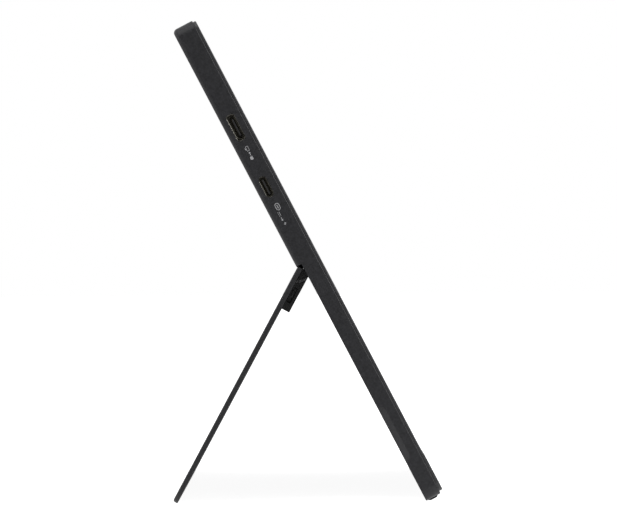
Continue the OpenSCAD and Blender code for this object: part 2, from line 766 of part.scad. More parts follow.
module oval_socket_shell() color(metal_grey) display() {
    from_left(oval_y, oval_d, socket_in) difference() {
        linear_extrude(socket_len) stadium(oval_w, oval_t);
        translate([0, 0, -far]) linear_extrude(tongue_end + far)
            stadium(oval_w - 2 * socket_wall, oval_t - 2 * socket_wall);
    }
    socket_legs(oval_y, oval_w);
}

module oval_socket_tongue() color(dark_plastic) display()
    from_left(oval_y, oval_d, socket_in + tongue_in)
        linear_extrude(tongue_end - tongue_in) soft_rectangle(oval_tongue_w, tongue_t, tongue_t / 3);

module audio_jack() color(dark_plastic) display() difference() {
    union() {
        translate([inner_x - jack_back - jack_len, jack_y - jack_box[1] / 2, jack_box_d]) cube(jack_box);
        translate([inner_x - jack_back - join, jack_y, switch_d]) rotate([0, 90, 0])
            cylinder(r = jack_r + jack_wall, h = side_wall + screw_clear);
    }
    translate([half_w - jack_len, jack_y, switch_d]) rotate([0, 90, 0])
        cylinder(r = jack_r, h = jack_len + far);
}

module button_board() color(board_green) display() difference() {
    union() {
        translate([button_x1 - button_w, button_y0, button_d]) cube([button_w, button_h, board_t - 0.1]);
        translate([button_x1 - button_w + 1, button_cable_y - 1, button_d - connector_h])
            cube([4, button_cable_w + 2, connector_h + join]);
    }
    translate([inner_x - jack_back - jack_len - 0.1, jack_y - jack_box[1] / 2 - 0.1, 0])
        cube([jack_len + far, jack_box[1] + 0.2, front_d]);
}

// Both keys press side-mounted switches; the rocker has one at each end
module side_switches() color(metal_grey) display() for (y = switch_at) {
    translate([button_x1 - switch[0], y - switch[1] / 2, button_d - switch[2]]) cube(switch);
    translate([button_x1 - join, y - plunger[1] / 2, switch_d - plunger[2] / 2])
        cube([plunger[0] + join, plunger[1], plunger[2]]);
}

module button_bracket() color(dark_plastic) display() difference() {
    union() {
        for (d = [switch_d - ear_out - ear_t, switch_d + ear_out]) translate([0, rocker_y, d]) {
            translate([rocker_x, 0, 0]) cylinder(r = ear_r, h = ear_t);
            translate([post_x, -ear_r, 0]) cube([rocker_x - post_x, 2 * ear_r, ear_t]);
        }
        translate([post_x, rocker_y - ear_r, switch_d - ear_out - ear_t])
            cube([2, 2 * ear_r, button_d - switch_d + ear_out + ear_t]);
    }
    translate([rocker_x, rocker_y, 0]) cylinder(r = pin_r + pin_gap, h = front_d);
}

// ---- Sound ----

module speaker(side) display() translate([side * speaker_x, speaker_y, 0]) difference() {
    translate([0, speaker_h / 2, floor_d + 0.05]) linear_extrude(chassis_d - floor_d - 0.1)
        soft_rectangle(speaker_w, speaker_h, 2);
    translate([0, speaker_h / 2 + 1, floor_d - far]) linear_extrude(far + 0.6)
        stadium(speaker_w - cone_margin[0], speaker_h - cone_margin[1]);
    translate([0, -far, slot_d]) rotate([-90, 0, 0]) linear_extrude(far + 1.4) stadium(speaker_w - 6, 1.4);
}

module speaker_left() color(dark_plastic) speaker(-1);

module speaker_right() color(dark_plastic) speaker(1);

module wire_run(points) for (k = [0:len(points) - 2]) {
    step = points[k + 1] - points[k];
    translate([points[k][0], points[k][1], wire_d]) {
        rotate([0, 90, atan2(step[1], step[0])]) cylinder(r = wire_r, h = norm(step));
        if (k > 0) sphere(wire_r);
    }
}

// From the main board's lower edge to both speakers
module speaker_wires() color("#b03028") display() {
    low = speaker_y + speaker_h;
    wire_run([[-wire_x - 4, main_y0 - 0.1], [-wire_x - 4, low + 0.1]]);
    across = low + wire_rise;
    wire_run([[-wire_x, main_y0 - 0.1], [-wire_x, across], [wire_x, across], [wire_x, low + 0.1]]);
}

// ---- Cables that lie on the chassis ----

module panel_cable() color("#2c2c30") display() along_x(panel_cable_x, panel_cable_w) {
    translate([panel_cable_y, cable_d]) square([main_y0 + 0.9 - panel_cable_y, cable_t]);
    translate([panel_cable_y - 0.2, cable_d]) square([cable_t + join, film_d - cable_d]);
}

module button_cable() color("#c07a2c") display()
    translate([main_x0 + main_w - edge_connector + 0.1, button_cable_y, cable_d])
        cube([button_x1 - button_w - main_x0 - main_w + edge_connector - 0.2, button_cable_w, cable_t]);

// ---- Feet, screws, inserts and magnets of the body ----

// The rear of each strip is bevelled so that it lies flat on the table at the display's lean
module foot_strips() color("#202020") display() for (sx = [-1, 1])
    along_x(sx * foot_x - foot_w / 2, foot_w) polygon([[foot_sink, foot_d], [-foot_back, foot_d],
        [-foot_rise, foot_d + foot_flat], [-foot_rise, foot_d + foot_span - foot_rise / 2],
        [-foot_rise / 2, foot_d + foot_span], [foot_sink, foot_d + foot_span]]);

// Fixed half of the hinge: two cheeks, an inner saddle and an outer rail that the arc slides between
module hinge_base(side) color(metal_grey) display() on_side(side) difference() {
    union() {
        for (x = cheek_at) about_pivot(x, cheek_t) {
            intersection() {
                union() {
                    circle(cheek_r);
                    translate([-base_low, 0]) square([base_low + base_high, chassis_d - pivot_d]);
                }
                translate([-cheek_r - far, plate_w + plate_clear])
                    square([2 * cheek_r + 2 * far, chassis_d - pivot_d - plate_w - plate_clear]);
            }
            // lug that closes the gap above the open flap
            difference() {
                translate([-lug_low, lug_out])
                    square([lug_low + lug_high, lug_depth + 2 * plate_clear]);
                circle(lug_in);
            }
        }
        about_pivot(module_x, module_w) difference() {
            translate([-base_low, plate_w + plate_clear])
                square([base_low + base_high, chassis_d - pivot_d - plate_w - plate_clear]);
            circle(rail_r);
        }
        about_pivot(module_x, module_w) intersection() {
            circle(saddle_r);
            translate([-saddle_r, plate_w + plate_clear]) square([2 * saddle_r, saddle_r]);
        }
        translate([module_x, pivot_y + base_high - join, chassis_d - flange_t])
            cube([module_w, flange_h, flange_t]);
    }
    for (dy = flange_screws) translate([module_x + module_w / 2, pivot_y + dy, 0])
        cylinder(r = screw_r + screw_clear, h = front_d);
}

module hinge_base_left() hinge_base(-1);

module hinge_base_right() hinge_base(1);

module hinge_screws() color("#303234") display() for (side = [-1, 1], dy = flange_screws)
    translate([side * (module_x + module_w / 2), pivot_y + dy, chassis_d - flange_t - head_t])
        screw(screw_head_r, head_t, screw_r, head_t + flange_t + chassis_t);

module mount_inserts() color("#b08d4a") display() for (at = mount_at)
    translate([at[0], at[1], 0]) difference() {
        union() {
            translate([0, 0, insert_lip]) cylinder(r = insert_r, h = chassis_d - insert_lip);
            translate([0, 0, chassis_d - join]) cylinder(r = insert_neck_r, h = chassis_t + join);
        }
        translate([0, 0, -far]) cylinder(r = mount_r, h = chassis_d - insert_floor + far);
    }

module cover_screws() color("#303234") display() for (at = cover_screw_at)
    translate([at[0], at[1], recess_d + cover_screw_in])
        screw(screw_head_r, cover_head_t, screw_r, chassis_d + chassis_t - recess_d - cover_screw_in);

module board_screws() color("#303234") display() for (at = main_screws)
    translate([main_x0 + at[0], main_y0 + at[1], main_d - head_t])
        screw(screw_head_r, head_t, screw_r, head_t + chassis_d + chassis_t - main_d);

module body_magnets() color(metal_grey) display() for (sx = [-1, 1])
    translate([sx * magnet_x, magnet_y, floor_d]) cylinder(r = magnet_r, h = body_magnet_t);

// ---- Stand flap, drawn closed ----

module stand_plate() color(body_black) stand() difference() {
    union() {
        difference() {
            slab(body_w, plate_low, body_h, corner_r, 0, plate_t, plate_edge_r, 0.3);
            translate([-body_w, pivot_y, -far]) cube([2 * body_w, body_h, plate_t + 2 * far]);
        }
        translate([-half_w, pivot_y - join, pivot_d]) cube([body_w, pivot_r + join, plate_t - pivot_d]);
        about_pivot(-half_w + plate_edge_r, body_w - 2 * plate_edge_r) circle(pivot_r);
    }
    translate([-tip_w / 2 - 0.05, tip_y - far, tip_floor]) cube([tip_w + 0.1, tip_h + far + 0.05, plate_t]);
    for (sx = [-1, 1]) translate([sx * magnet_x, magnet_y, plate_t - plate_magnet_t - 0.1])
        cylinder(r = magnet_r + 0.1, h = plate_t);
    for (side = [-1, 1], dy = leaf_screws)
        translate([side * (arc_x + arc_w / 2), pivot_y - dy, plate_t - leaf_screw_in])
            cylinder(r = screw_r, h = plate_t);
    // room for the lugs of the fixed base
    for (side = [-1, 1], x = cheek_at) on_side(side) about_pivot(x - module_gap, cheek_t + 2 * module_gap)
        translate([-lug_low - lug_gap, lug_out - lug_gap]) square([lug_low + far, plate_w]);
}

// End slab of the housing: a round nose that turns in the pocket, a groove and a bevelled arc round it
module housing_section() {
    translate([-housing_h, plate_w]) square([housing_h - 0.3, housing_r - plate_w]);
    intersection() {
        circle(nose_r);
        translate([-housing_r, plate_w]) square([housing_r - nose_r * cos(sector_end), housing_r]);
    }
}

module hinge_housing(side) color(dark_plastic) stand() on_side(side) difference() {
    x0 = housing_x - housing_w;
    about_pivot(x0, housing_w) housing_section();
    // room for the fixed base
    about_pivot(module_x - module_gap, module_w + 2 * module_gap)
        translate([-notch_h, plate_w - far]) square([notch_h + housing_r, housing_r + 2 * far]);
    // room for the leaf of the sliding arc and its screws
    about_pivot(arc_x - 0.1, arc_w + 0.2)
        translate([-leaf_h - 0.1, plate_w - far]) square([leaf_h, arc_t + far + 0.8]);
    // groove and bevel on the outer end
    translate([housing_x, pivot_y, pivot_d]) rotate([0, -90, 0]) difference() {
        translate([0, 0, -join]) cylinder(r1 = cheek_r + 0.05, r2 = housing_r + 0.1, h = groove_depth);
        translate([0, 0, -far]) cylinder(r = nose_r, h = groove_depth + 2 * far);
    }
    // recessed window with a pill-shaped boss, and a deeper slot below the boss
    about_pivot(housing_x - window_depth, window_depth + far) translate([-window_at[0], window_at[1]])
        soft_rectangle(window[0], window[1], 0.3);
    about_pivot(housing_x - slot_depth, slot_depth + far) translate([-slot_at[0], slot_at[1]])
        soft_rectangle(slot[0], slot[1], 0.2);
}

module housing_boss(side) color(dark_plastic) stand() on_side(side)
    about_pivot(housing_x - window_depth - join, boss_rise + join) translate([-boss_at[0], boss_at[1]])
        stadium(boss[0], boss[1]);

module hinge_housing_left() {
    hinge_housing(-1);
    housing_boss(-1);
}

module hinge_housing_right() {
    hinge_housing(1);
    housing_boss(1);
}

// Moving half of the hinge: a steel arc about the pivot line, with a leaf screwed to the plate
module hinge_tongue(side) color(metal_grey) stand() on_side(side) difference() {
    about_pivot(arc_x, arc_w) {
        intersection() {
            difference() {
                circle(arc_r + arc_t);
                circle(arc_r);
            }
            translate([-arc_r - arc_t, plate_w]) square([2 * (arc_r + arc_t), arc_r + arc_t]);
        }
        translate([-leaf_h, plate_w]) square([leaf_h - arc_r + 0.3, arc_t]);
    }
    for (dy = leaf_screws) translate([arc_x + arc_w / 2, pivot_y - dy, 0])
        cylinder(r = screw_r + screw_clear, h = front_d);
}

module hinge_tongue_left() hinge_tongue(-1);

module hinge_tongue_right() hinge_tongue(1);

module tongue_screws() color("#303234") stand() for (side = [-1, 1], dy = leaf_screws)
    translate([side * (arc_x + arc_w / 2), pivot_y - dy, plate_t + arc_t + head_t]) mirror([0, 0, 1])
        screw(screw_head_r, head_t, screw_r, head_t + arc_t + leaf_screw_in - 0.1);

module stand_tip() color("#202020") stand() along_x(-tip_w / 2, tip_w) {
    translate([tip_y, tip_floor + 0.05]) square([tip_h, plate_t - tip_r - tip_floor - 0.05]);
    translate([tip_y + tip_r, plate_t - tip_r - join]) square([tip_h - tip_r, tip_r + join]);
    translate([tip_y + tip_r, plate_t - tip_r]) circle(tip_r);
}

module stand_magnets() color(metal_grey) stand() for (sx = [-1, 1])
    translate([sx * magnet_x, magnet_y, plate_t - plate_magnet_t]) cylinder(r = magnet_r, h = plate_magnet_t);

// ---- Keys ----

module key_cap(y, length, flange)
    translate([inner_x - flange, y, switch_d]) rotate([90, 0, 90]) {
        linear_extrude(side_wall + flange - key_in) stadium(length, key_t);
        linear_extrude(key_flange_t) soft_rectangle(length + key_flange_long, key_t + key_flange, key_flange_r);
    }

// Stud behind a key that meets a switch's plunger
module key_stud(y, play, flange) {
    x0 = button_x1 + plunger[0] + play;
    translate([x0, y - 0.8, switch_d - plunger[2] / 2]) cube([inner_x - flange + 0.1 - x0, 1.6, plunger[2]]);
}

module power_button() color(body_black) display() {
    key_cap(power_y, power_w, power_flange);
    key_stud(switch_at[0], power_play, power_flange);
}

module menu_rocker() color(body_black) display() {
    key_cap(rocker_y, rocker_w, rocker_flange);
    for (k = [1, 2]) key_stud(switch_at[k], rocker_play, rocker_flange);
    translate([rocker_x - ear_r, rocker_y - ear_r, switch_d - lug_t / 2])
        cube([inner_x - rocker_flange + 0.1 - rocker_x + ear_r, 2 * ear_r, lug_t]);
    translate([rocker_x, rocker_y, switch_d - ear_out - ear_t])
        cylinder(r = pin_r, h = 2 * (ear_out + ear_t) - ear_gap);
}

rear_cover();
front_bezel();
front_chin();
cell_glass();
diffuser_film();
light_guide();
reflector_film();
panel_tray();
panel_mid_frame();
light_strip();
driver_board();
chassis_plate();
main_board();
board_shield();
video_socket_shell();
video_socket_tongue();
oval_socket_shell();
oval_socket_tongue();
audio_jack();
button_board();
button_bracket();
side_switches();
speaker_left();
speaker_right();
panel_cable();
button_cable();
speaker_wires();
foot_strips();
hinge_base_left();
hinge_base_right();
hinge_screws();
mount_inserts();
cover_screws();
board_screws();
body_magnets();
stand_plate();
hinge_housing_left();
hinge_housing_right();
hinge_tongue_left();
hinge_tongue_right();
tongue_screws();
stand_tip();
stand_magnets();
power_button();
menu_rocker();
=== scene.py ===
import json
import math
import bpy
import bmesh
from mathutils import Matrix, Vector


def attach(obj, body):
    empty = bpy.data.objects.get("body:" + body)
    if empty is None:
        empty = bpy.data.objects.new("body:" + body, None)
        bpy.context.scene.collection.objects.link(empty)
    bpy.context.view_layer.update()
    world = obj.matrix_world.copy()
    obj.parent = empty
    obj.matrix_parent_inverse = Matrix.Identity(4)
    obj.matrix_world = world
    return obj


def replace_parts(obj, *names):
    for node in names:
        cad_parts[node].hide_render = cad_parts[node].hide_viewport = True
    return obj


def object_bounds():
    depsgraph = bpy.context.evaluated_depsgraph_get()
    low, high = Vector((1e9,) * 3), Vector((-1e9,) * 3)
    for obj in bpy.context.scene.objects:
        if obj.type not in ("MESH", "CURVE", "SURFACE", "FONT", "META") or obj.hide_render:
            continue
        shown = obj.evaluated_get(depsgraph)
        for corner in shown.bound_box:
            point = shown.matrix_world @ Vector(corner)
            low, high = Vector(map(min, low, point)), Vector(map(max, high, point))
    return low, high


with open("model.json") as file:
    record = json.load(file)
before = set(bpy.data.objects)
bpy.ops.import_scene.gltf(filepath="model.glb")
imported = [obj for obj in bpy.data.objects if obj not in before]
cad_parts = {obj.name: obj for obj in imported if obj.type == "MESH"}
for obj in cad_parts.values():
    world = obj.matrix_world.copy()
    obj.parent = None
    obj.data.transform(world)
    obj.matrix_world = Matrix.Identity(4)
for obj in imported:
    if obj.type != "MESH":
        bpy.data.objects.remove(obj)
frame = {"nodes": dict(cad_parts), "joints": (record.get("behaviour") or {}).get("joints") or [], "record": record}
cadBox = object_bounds()
nodes = frame["nodes"]
joints = {joint["name"]: joint for joint in frame["joints"]}
mounts = {mount["name"]: mount for mount in frame["record"]["mounts"]}
mm = 0.001
weldGap = 0.002 * mm  # a CAD node's mesh is loose triangles, and corners this near are one
print("frame:", len(nodes), "nodes")


# The display's own axes: x across, y up the screen from the bottom edge, z = depth from the rear face
pivot = {"up": 112.0, "depth": 0.45}  # the flap's turning line, in those axes
rearward = Vector(mounts["mount_pattern"]["axis"]).normalized()
upScreen = Vector((0, -rearward.z, rearward.y))
forward = -rearward
turn = Matrix((
    (1, 0, 0),
    (0, upScreen.y, forward.y),
    (0, upScreen.z, forward.z),
)).to_4x4()
hingeAt = Vector(joints["stand_hinge"]["pos_m"])
toDisplay = (Matrix.Translation(hingeAt) @ turn @ Matrix.Scale(mm, 4)
             @ Matrix.Translation((0, -pivot["up"], -pivot["depth"])))
standOpen = math.radians(-joints["stand_hinge"]["range_deg"][0])
toPivot = Matrix.Translation((0, pivot["up"], pivot["depth"]))
toStand = toDisplay @ toPivot @ Matrix.Rotation(standOpen, 4, "X") @ toPivot.inverted()


def cornersOf(points):
    return [Vector(pick(p[k] for p in points) for k in range(3)) for pick in (min, max)]


# corners of a node in the display's or the closed flap's own axes, in mm
def boxIn(nodeName, space):
    back = space.inverted()
    return cornersOf([back @ v.co for v in nodes[nodeName].data.vertices])


# the same for each separate solid of a node
def solidBoxes(nodeName, space):
    work = bmesh.new()
    work.from_mesh(nodes[nodeName].data)
    bmesh.ops.remove_doubles(work, verts=work.verts, dist=weldGap)
    work.transform(space.inverted())
    left = set(work.verts)
    boxes = []
    while left:
        reached = [left.pop()]
        for vert in reached:
            near = [edge.other_vert(vert) for edge in vert.link_edges]
            fresh = [other for other in near if other in left]
            left.difference_update(fresh)
            reached.extend(fresh)
        boxes.append(cornersOf([v.co for v in reached]))
    work.free()
    return sorted(boxes, key=lambda box: tuple(box[0]))


def toLinear(hexColour):
    parts = [int(hexColour[i:i + 2], 16) / 255 for i in (1, 3, 5)]
    return [c / 12.92 if c <= 0.04045 else ((c + 0.055) / 1.055) ** 2.4 for c in parts] + [1.0]


def addNode(tree, kind, settings=None, inputs=None):
    node = tree.nodes.new(kind)
    for name, value in (settings or {}).items():
        setattr(node, name, value)
    for key, value in (inputs or {}).items():
        if isinstance(value, bpy.types.NodeSocket):
            tree.links.new(value, node.inputs[key])
        else:
            node.inputs[key].default_value = value
    return node


# a new material, its empty tree, and the object's own coordinates in that tree
def newMaterial(name):
    material = bpy.data.materials.new(name)
    material.use_nodes = True
    tree = material.node_tree
    tree.nodes.clear()
    return material, tree, addNode(tree, "ShaderNodeTexCoord").outputs["Object"]


def endMaterial(tree, shader):
    addNode(tree, "ShaderNodeOutputMaterial", inputs={"Surface": shader.outputs[0]})


def newObject(name, data):
    made = bpy.data.objects.new(name, data)
    bpy.context.scene.collection.objects.link(made)
    return made


# the mesh that a draft's modifiers make of it; the draft goes
def settledMesh(draft, name):
    mesh = bpy.data.meshes.new_from_object(draft.evaluated_get(bpy.context.evaluated_depsgraph_get()))
    mesh.name = name
    draft.modifiers.clear()
    bpy.data.objects.remove(draft)
    return mesh


def newPiece(name, mesh, body, material):
    piece = newObject(name, mesh)
    mesh.materials.clear()
    mesh.materials.append(material)
    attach(piece, body)
    return piece


# noise values that show a material's darker and its lighter colour
rampEnds = (0.3, 0.7)
# what a plastic has unless it says otherwise, sizes in mm; polish: swing of its roughness either way
usualPlastic = {"cloudSize": 3, "cloudShare": 0.5, "grainSize": 0.8, "grainDepth": 0.02, "bump": 0.2,
                "roughness": 0.48, "polish": 0.06, "sheen": 0.3, "ior": 1.5}


def mouldedPlastic(name, given):
    # grain: raised specks of the mould's etched surface, some 0.1 mm on the real one and drawn several times
    # coarser here so that they show; cloud: slow change of tone across the part
    look = dict(usualPlastic, **given)
    material, tree, place = newMaterial(name)
    cloud = addNode(tree, "ShaderNodeTexNoise", inputs={
        "Vector": place, "Scale": 1 / (look["cloudSize"] * mm), "Detail": 4, "Roughness": 0.6})
    speck = addNode(tree, "ShaderNodeTexNoise", inputs={
        "Vector": place, "Scale": 1 / (look["grainSize"] * mm), "Detail": 2, "Roughness": 0.55})
    cells = addNode(tree, "ShaderNodeTexVoronoi", {"feature": "SMOOTH_F1"}, {
        "Vector": place, "Scale": 0.8 / (look["grainSize"] * mm), "Smoothness": 0.6})
    tone = addNode(tree, "ShaderNodeMix", {"data_type": "FLOAT"}, {
        "Factor": look["cloudShare"], "A": speck.outputs["Fac"], "B": cloud.outputs["Fac"]})
    colour = addNode(tree, "ShaderNodeValToRGB", inputs={"Fac": tone.outputs[0]})
    for stop, at, shade in zip(colour.color_ramp.elements, rampEnds, ("dark", "light")):
        stop.position = at
        stop.color = toLinear(look[shade])
    polish = addNode(tree, "ShaderNodeMapRange", inputs={
        "Value": speck.outputs["Fac"],
        "To Min": look["roughness"] - look["polish"], "To Max": look["roughness"] + look["polish"]})
    relief = addNode(tree, "ShaderNodeMath", {"operation": "ADD"}, {
        0: speck.outputs["Fac"], 1: cells.outputs["Distance"]})
    bump = addNode(tree, "ShaderNodeBump", inputs={
        "Height": relief.outputs[0], "Strength": look["bump"], "Distance": look["grainDepth"] * mm})
    endMaterial(tree, addNode(tree, "ShaderNodeBsdfPrincipled", inputs={
        "Base Color": colour.outputs["Color"], "Roughness": polish.outputs[0],
        "Specular IOR Level": look["sheen"], "IOR": look["ior"], "Normal": bump.outputs["Normal"]}))
    return material


# what a metal has unless it says otherwise, sizes in mm; stainShare: the film's part in the tone
usualMetal = {"along": "x", "stainShare": 0.45, "polish": 0.07, "bump": 0.15, "lineDepth": 0.01}


def brushedMetal(name, given):
    # lines: the grinding or rolling marks, long along the chosen axis, some 0.05 mm apart on the real one and
    # drawn wider apart here so that they show; stain: handling and oil film
    look = dict(usualMetal, **given)
    material, tree, place = newMaterial(name)
    along = [1 / (look["lineGap"] * mm)] * 3
    along["xyz".index(look["along"])] = 1 / (look["lineLength"] * mm)
    stretched = addNode(tree, "ShaderNodeMapping", inputs={"Vector": place, "Scale": along})
    lines = addNode(tree, "ShaderNodeTexNoise", inputs={
        "Vector": stretched.outputs[0], "Scale": 1, "Detail": 3})
    stain = addNode(tree, "ShaderNodeTexNoise", inputs={
        "Vector": place, "Scale": 1 / (look["stainSize"] * mm), "Detail": 3})
    tone = addNode(tree, "ShaderNodeMix", {"data_type": "FLOAT"}, {
        "Factor": look["stainShare"], "A": lines.outputs["Fac"], "B": stain.outputs["Fac"]})
    colour = addNode(tree, "ShaderNodeValToRGB", inputs={"Fac": tone.outputs[0]})
    for stop, at, shade in zip(colour.color_ramp.elements, rampEnds, ("dark", "light")):
        stop.position = at
        stop.color = toLinear(look[shade])
    polish = addNode(tree, "ShaderNodeMapRange", inputs={
        "Value": tone.outputs[0], "From Min": rampEnds[0], "From Max": rampEnds[1],
        "To Min": look["roughness"] - look["polish"], "To Max": look["roughness"] + look["polish"]})
    bump = addNode(tree, "ShaderNodeBump", inputs={
        "Height": lines.outputs["Fac"], "Strength": look["bump"], "Distance": look["lineDepth"] * mm})
    endMaterial(tree, addNode(tree, "ShaderNodeBsdfPrincipled", inputs={
        "Base Color": colour.outputs["Color"], "Metallic": 1.0, "Roughness": polish.outputs[0],
        "Normal": bump.outputs["Normal"]}))
    return material


def solderMask(name):
    # green lacquer over copper tracks: the tracks show lighter and slightly raised
    look = {"lacquer": "#1b4a33", "overTrack": "#2c6a49", "trackPitch": 1.6, "trackShare": 0.32, "field": 9,
            "swing": 4, "bandRate": 6.3, "bump": 0.4, "trackRise": 0.03, "roughness": 0.34}
    material, tree, place = newMaterial(name)
    bent = addNode(tree, "ShaderNodeTexVoronoi", {"feature": "F1", "distance": "MANHATTAN"}, {
        "Vector": place, "Scale": 1 / (look["field"] * mm), "Randomness": 0.9})
    swing = addNode(tree, "ShaderNodeVectorMath", {"operation": "MULTIPLY_ADD"}, {
        0: bent.outputs["Color"], 1: [look["swing"] * mm] * 3, 2: place})
    tracks = addNode(tree, "ShaderNodeTexWave", {"wave_type": "BANDS", "bands_direction": "DIAGONAL"}, {
        "Vector": swing.outputs[0], "Scale": 1 / (look["trackPitch"] * mm) / look["bandRate"],
        "Distortion": 0.0})
    edge = addNode(tree, "ShaderNodeMath", {"operation": "GREATER_THAN"}, {
        0: tracks.outputs["Fac"], 1: 1 - look["trackShare"]})
    colour = addNode(tree, "ShaderNodeMix", {"data_type": "RGBA"}, {
        "Factor": edge.outputs[0], "A": toLinear(look["lacquer"]), "B": toLinear(look["overTrack"])})
    bump = addNode(tree, "ShaderNodeBump", inputs={
        "Height": edge.outputs[0], "Strength": look["bump"], "Distance": look["trackRise"] * mm})
    endMaterial(tree, addNode(tree, "ShaderNodeBsdfPrincipled", inputs={
        "Base Color": colour.outputs["Result"], "Roughness": look["roughness"],
        "Normal": bump.outputs["Normal"]}))
    return material


def antiGlareGlass(name):
    # etched polariser over a dark cell: black, with the fine sparkle that spreads a reflection; the real etch
    # is far finer than 0.5 mm and is drawn coarser so that it shows
    look = {"cell": "#050607", "cellLight": "#0a0b0e", "etchSize": 0.5, "etchDepth": 0.01, "hazeSize": 70,
            "roughness": 0.2, "smoother": 0.04, "rougher": 0.06, "bump": 0.12, "coating": 0.25, "ior": 1.5}
    material, tree, place = newMaterial(name)
    etch = addNode(tree, "ShaderNodeTexNoise", inputs={
        "Vector": place, "Scale": 1 / (look["etchSize"] * mm), "Detail": 2})
    haze = addNode(tree, "ShaderNodeTexNoise", inputs={
        "Vector": place, "Scale": 1 / (look["hazeSize"] * mm), "Detail": 2})
    colour = addNode(tree, "ShaderNodeMix", {"data_type": "RGBA"}, {
        "Factor": haze.outputs["Fac"], "A": toLinear(look["cell"]), "B": toLinear(look["cellLight"])})
    polish = addNode(tree, "ShaderNodeMapRange", inputs={
        "Value": etch.outputs["Fac"],
        "To Min": look["roughness"] - look["smoother"], "To Max": look["roughness"] + look["rougher"]})
    bump = addNode(tree, "ShaderNodeBump", inputs={
        "Height": etch.outputs["Fac"], "Strength": look["bump"], "Distance": look["etchDepth"] * mm})
    endMaterial(tree, addNode(tree, "ShaderNodeBsdfPrincipled", inputs={
        "Base Color": colour.outputs["Result"], "Roughness": polish.outputs[0], "IOR": look["ior"],
        "Specular IOR Level": look["coating"], "Normal": bump.outputs["Normal"]}))
    return material


def thinSheet(name, given):
    # optical films and flat cables: smooth sheet with a faint ripple
    look = dict(given, rippleSize=14, rippleDepth=0.1, bump=0.2)
    material, tree, place = newMaterial(name)
    ripple = addNode(tree, "ShaderNodeTexNoise", inputs={
        "Vector": place, "Scale": 1 / (look["rippleSize"] * mm), "Detail": 1})
    colour = addNode(tree, "ShaderNodeMix", {"data_type": "RGBA"}, {
        "Factor": ripple.outputs["Fac"], "A": toLinear(look["dark"]), "B": toLinear(look["light"])})
    bump = addNode(tree, "ShaderNodeBump", inputs={
        "Height": ripple.outputs["Fac"], "Strength": look["bump"], "Distance": look["rippleDepth"] * mm})
    endMaterial(tree, addNode(tree, "ShaderNodeBsdfPrincipled", inputs={
        "Base Color": colour.outputs["Result"], "Roughness": look["roughness"],
        "Transmission Weight": look["clear"], "IOR": look["ior"], "Normal": bump.outputs["Normal"]}))
    return material


# spark-etched polycarbonate blend of the covers: soft charcoal, fine grain, no clear reflection
etchedShell = mouldedPlastic("etchedPolycarbonateCharcoal", {
    "dark": "#18181a", "light": "#2b2b2e", "cloudSize": 2.2, "cloudShare": 0.4, "grainDepth": 0.04})
# the front frame comes from a smoother mould and catches more of the light; its colour is also a shade lighter
# than the covers', painted light standing in for the light on its side strip
satinBezel = mouldedPlastic("satinPolycarbonateBezel", {
    "dark": "#2a2a2c", "light": "#38383a", "grainSize": 0.7, "grainDepth": 0.03, "bump": 0.08,
    "roughness": 0.42, "sheen": 0.38})
# the flap's skin is the covers' blend over a metal core: the same grain, a shade more even
etchedFlap = mouldedPlastic("etchedPolycarbonateFlap", {
    "dark": "#18181a", "light": "#2a2a2c", "cloudSize": 2.2, "cloudShare": 0.4, "grainDepth": 0.04})
# satin ABS keys: near the covers' tone, more even and with a finer grain
satinKey = mouldedPlastic("satinAbsKeys", {
    "dark": "#232325", "light": "#2b2b2d", "cloudSize": 4, "grainSize": 0.7, "grainDepth": 0.03,
    "bump": 0.3, "roughness": 0.45})
# glass-filled nylon of the hinge housings: darker, with a faint flow pattern
filledNylon = mouldedPlastic("glassFilledNylonBlack", {
    "dark": "#0e0e10", "light": "#141416", "cloudSize": 3.2, "cloudShare": 0.7, "bump": 0.06,
    "roughness": 0.38, "sheen": 0.4, "ior": 1.53})
# acetal strip in the groove the hinge's nose runs in: its pale grey is painted highlight, standing in for the
# light on the groove's bevel; slightly waxy
paleHighlightAcetal = mouldedPlastic("acetalPaintedHighlight", {
    "dark": "#a8a8aa", "light": "#b6b6b8", "cloudSize": 4, "cloudShare": 0.6, "grainDepth": 0.01,
    "bump": 0.05, "roughness": 0.4, "sheen": 0.4, "ior": 1.48})
# plain ABS of the inner mouldings: flat black with a coarse grain
innerAbs = mouldedPlastic("blackAbsInner", {
    "dark": "#18181a", "light": "#202022", "cloudSize": 4, "grainSize": 1.2, "grainDepth": 0.04,
    "bump": 0.3, "roughness": 0.52, "sheen": 0.4})
# moulded silicone rubber of the feet and the flap's tip: deep black, no shine
mattRubber = mouldedPlastic("siliconeRubberBlack", {
    "dark": "#0d0d0e", "light": "#151516", "cloudShare": 0.4, "grainDepth": 0.06, "bump": 0.5,
    "roughness": 0.8, "sheen": 0.12, "ior": 1.41})
# high-temperature nylon inside the sockets: charcoal, smooth enough for a soft gleam
socketNylon = mouldedPlastic("socketNylonBlack", {
    "dark": "#242425", "light": "#2f2f30", "cloudSize": 2, "grainSize": 0.4, "bump": 0.08,
    "roughness": 0.35, "sheen": 0.4, "ior": 1.53})
# white lacquered strip that carries the backlight's lamps: warm white, half gloss
lampStrip = mouldedPlastic("whiteLacqueredStrip", {
    "dark": "#d8d2b8", "light": "#f0ebd6", "grainSize": 1, "roughness": 0.4, "sheen": 0.5})
# extruded insulation of the speaker wires: dark red, smooth
wireSheath = mouldedPlastic("vinylWireSheathRed", {
    "dark": "#7d1d18", "light": "#98261f", "grainSize": 0.6, "roughness": 0.45, "sheen": 0.5, "ior": 1.52})
# pad-printed ink of the marks beside the sockets: flat light grey, a little thin in places
padPrint = mouldedPlastic("padPrintedInkGrey", {
    "dark": "#858587", "light": "#b4b4b6", "cloudSize": 0.9, "cloudShare": 0.6, "grainSize": 0.4,
    "grainDepth": 0.005, "roughness": 0.6})
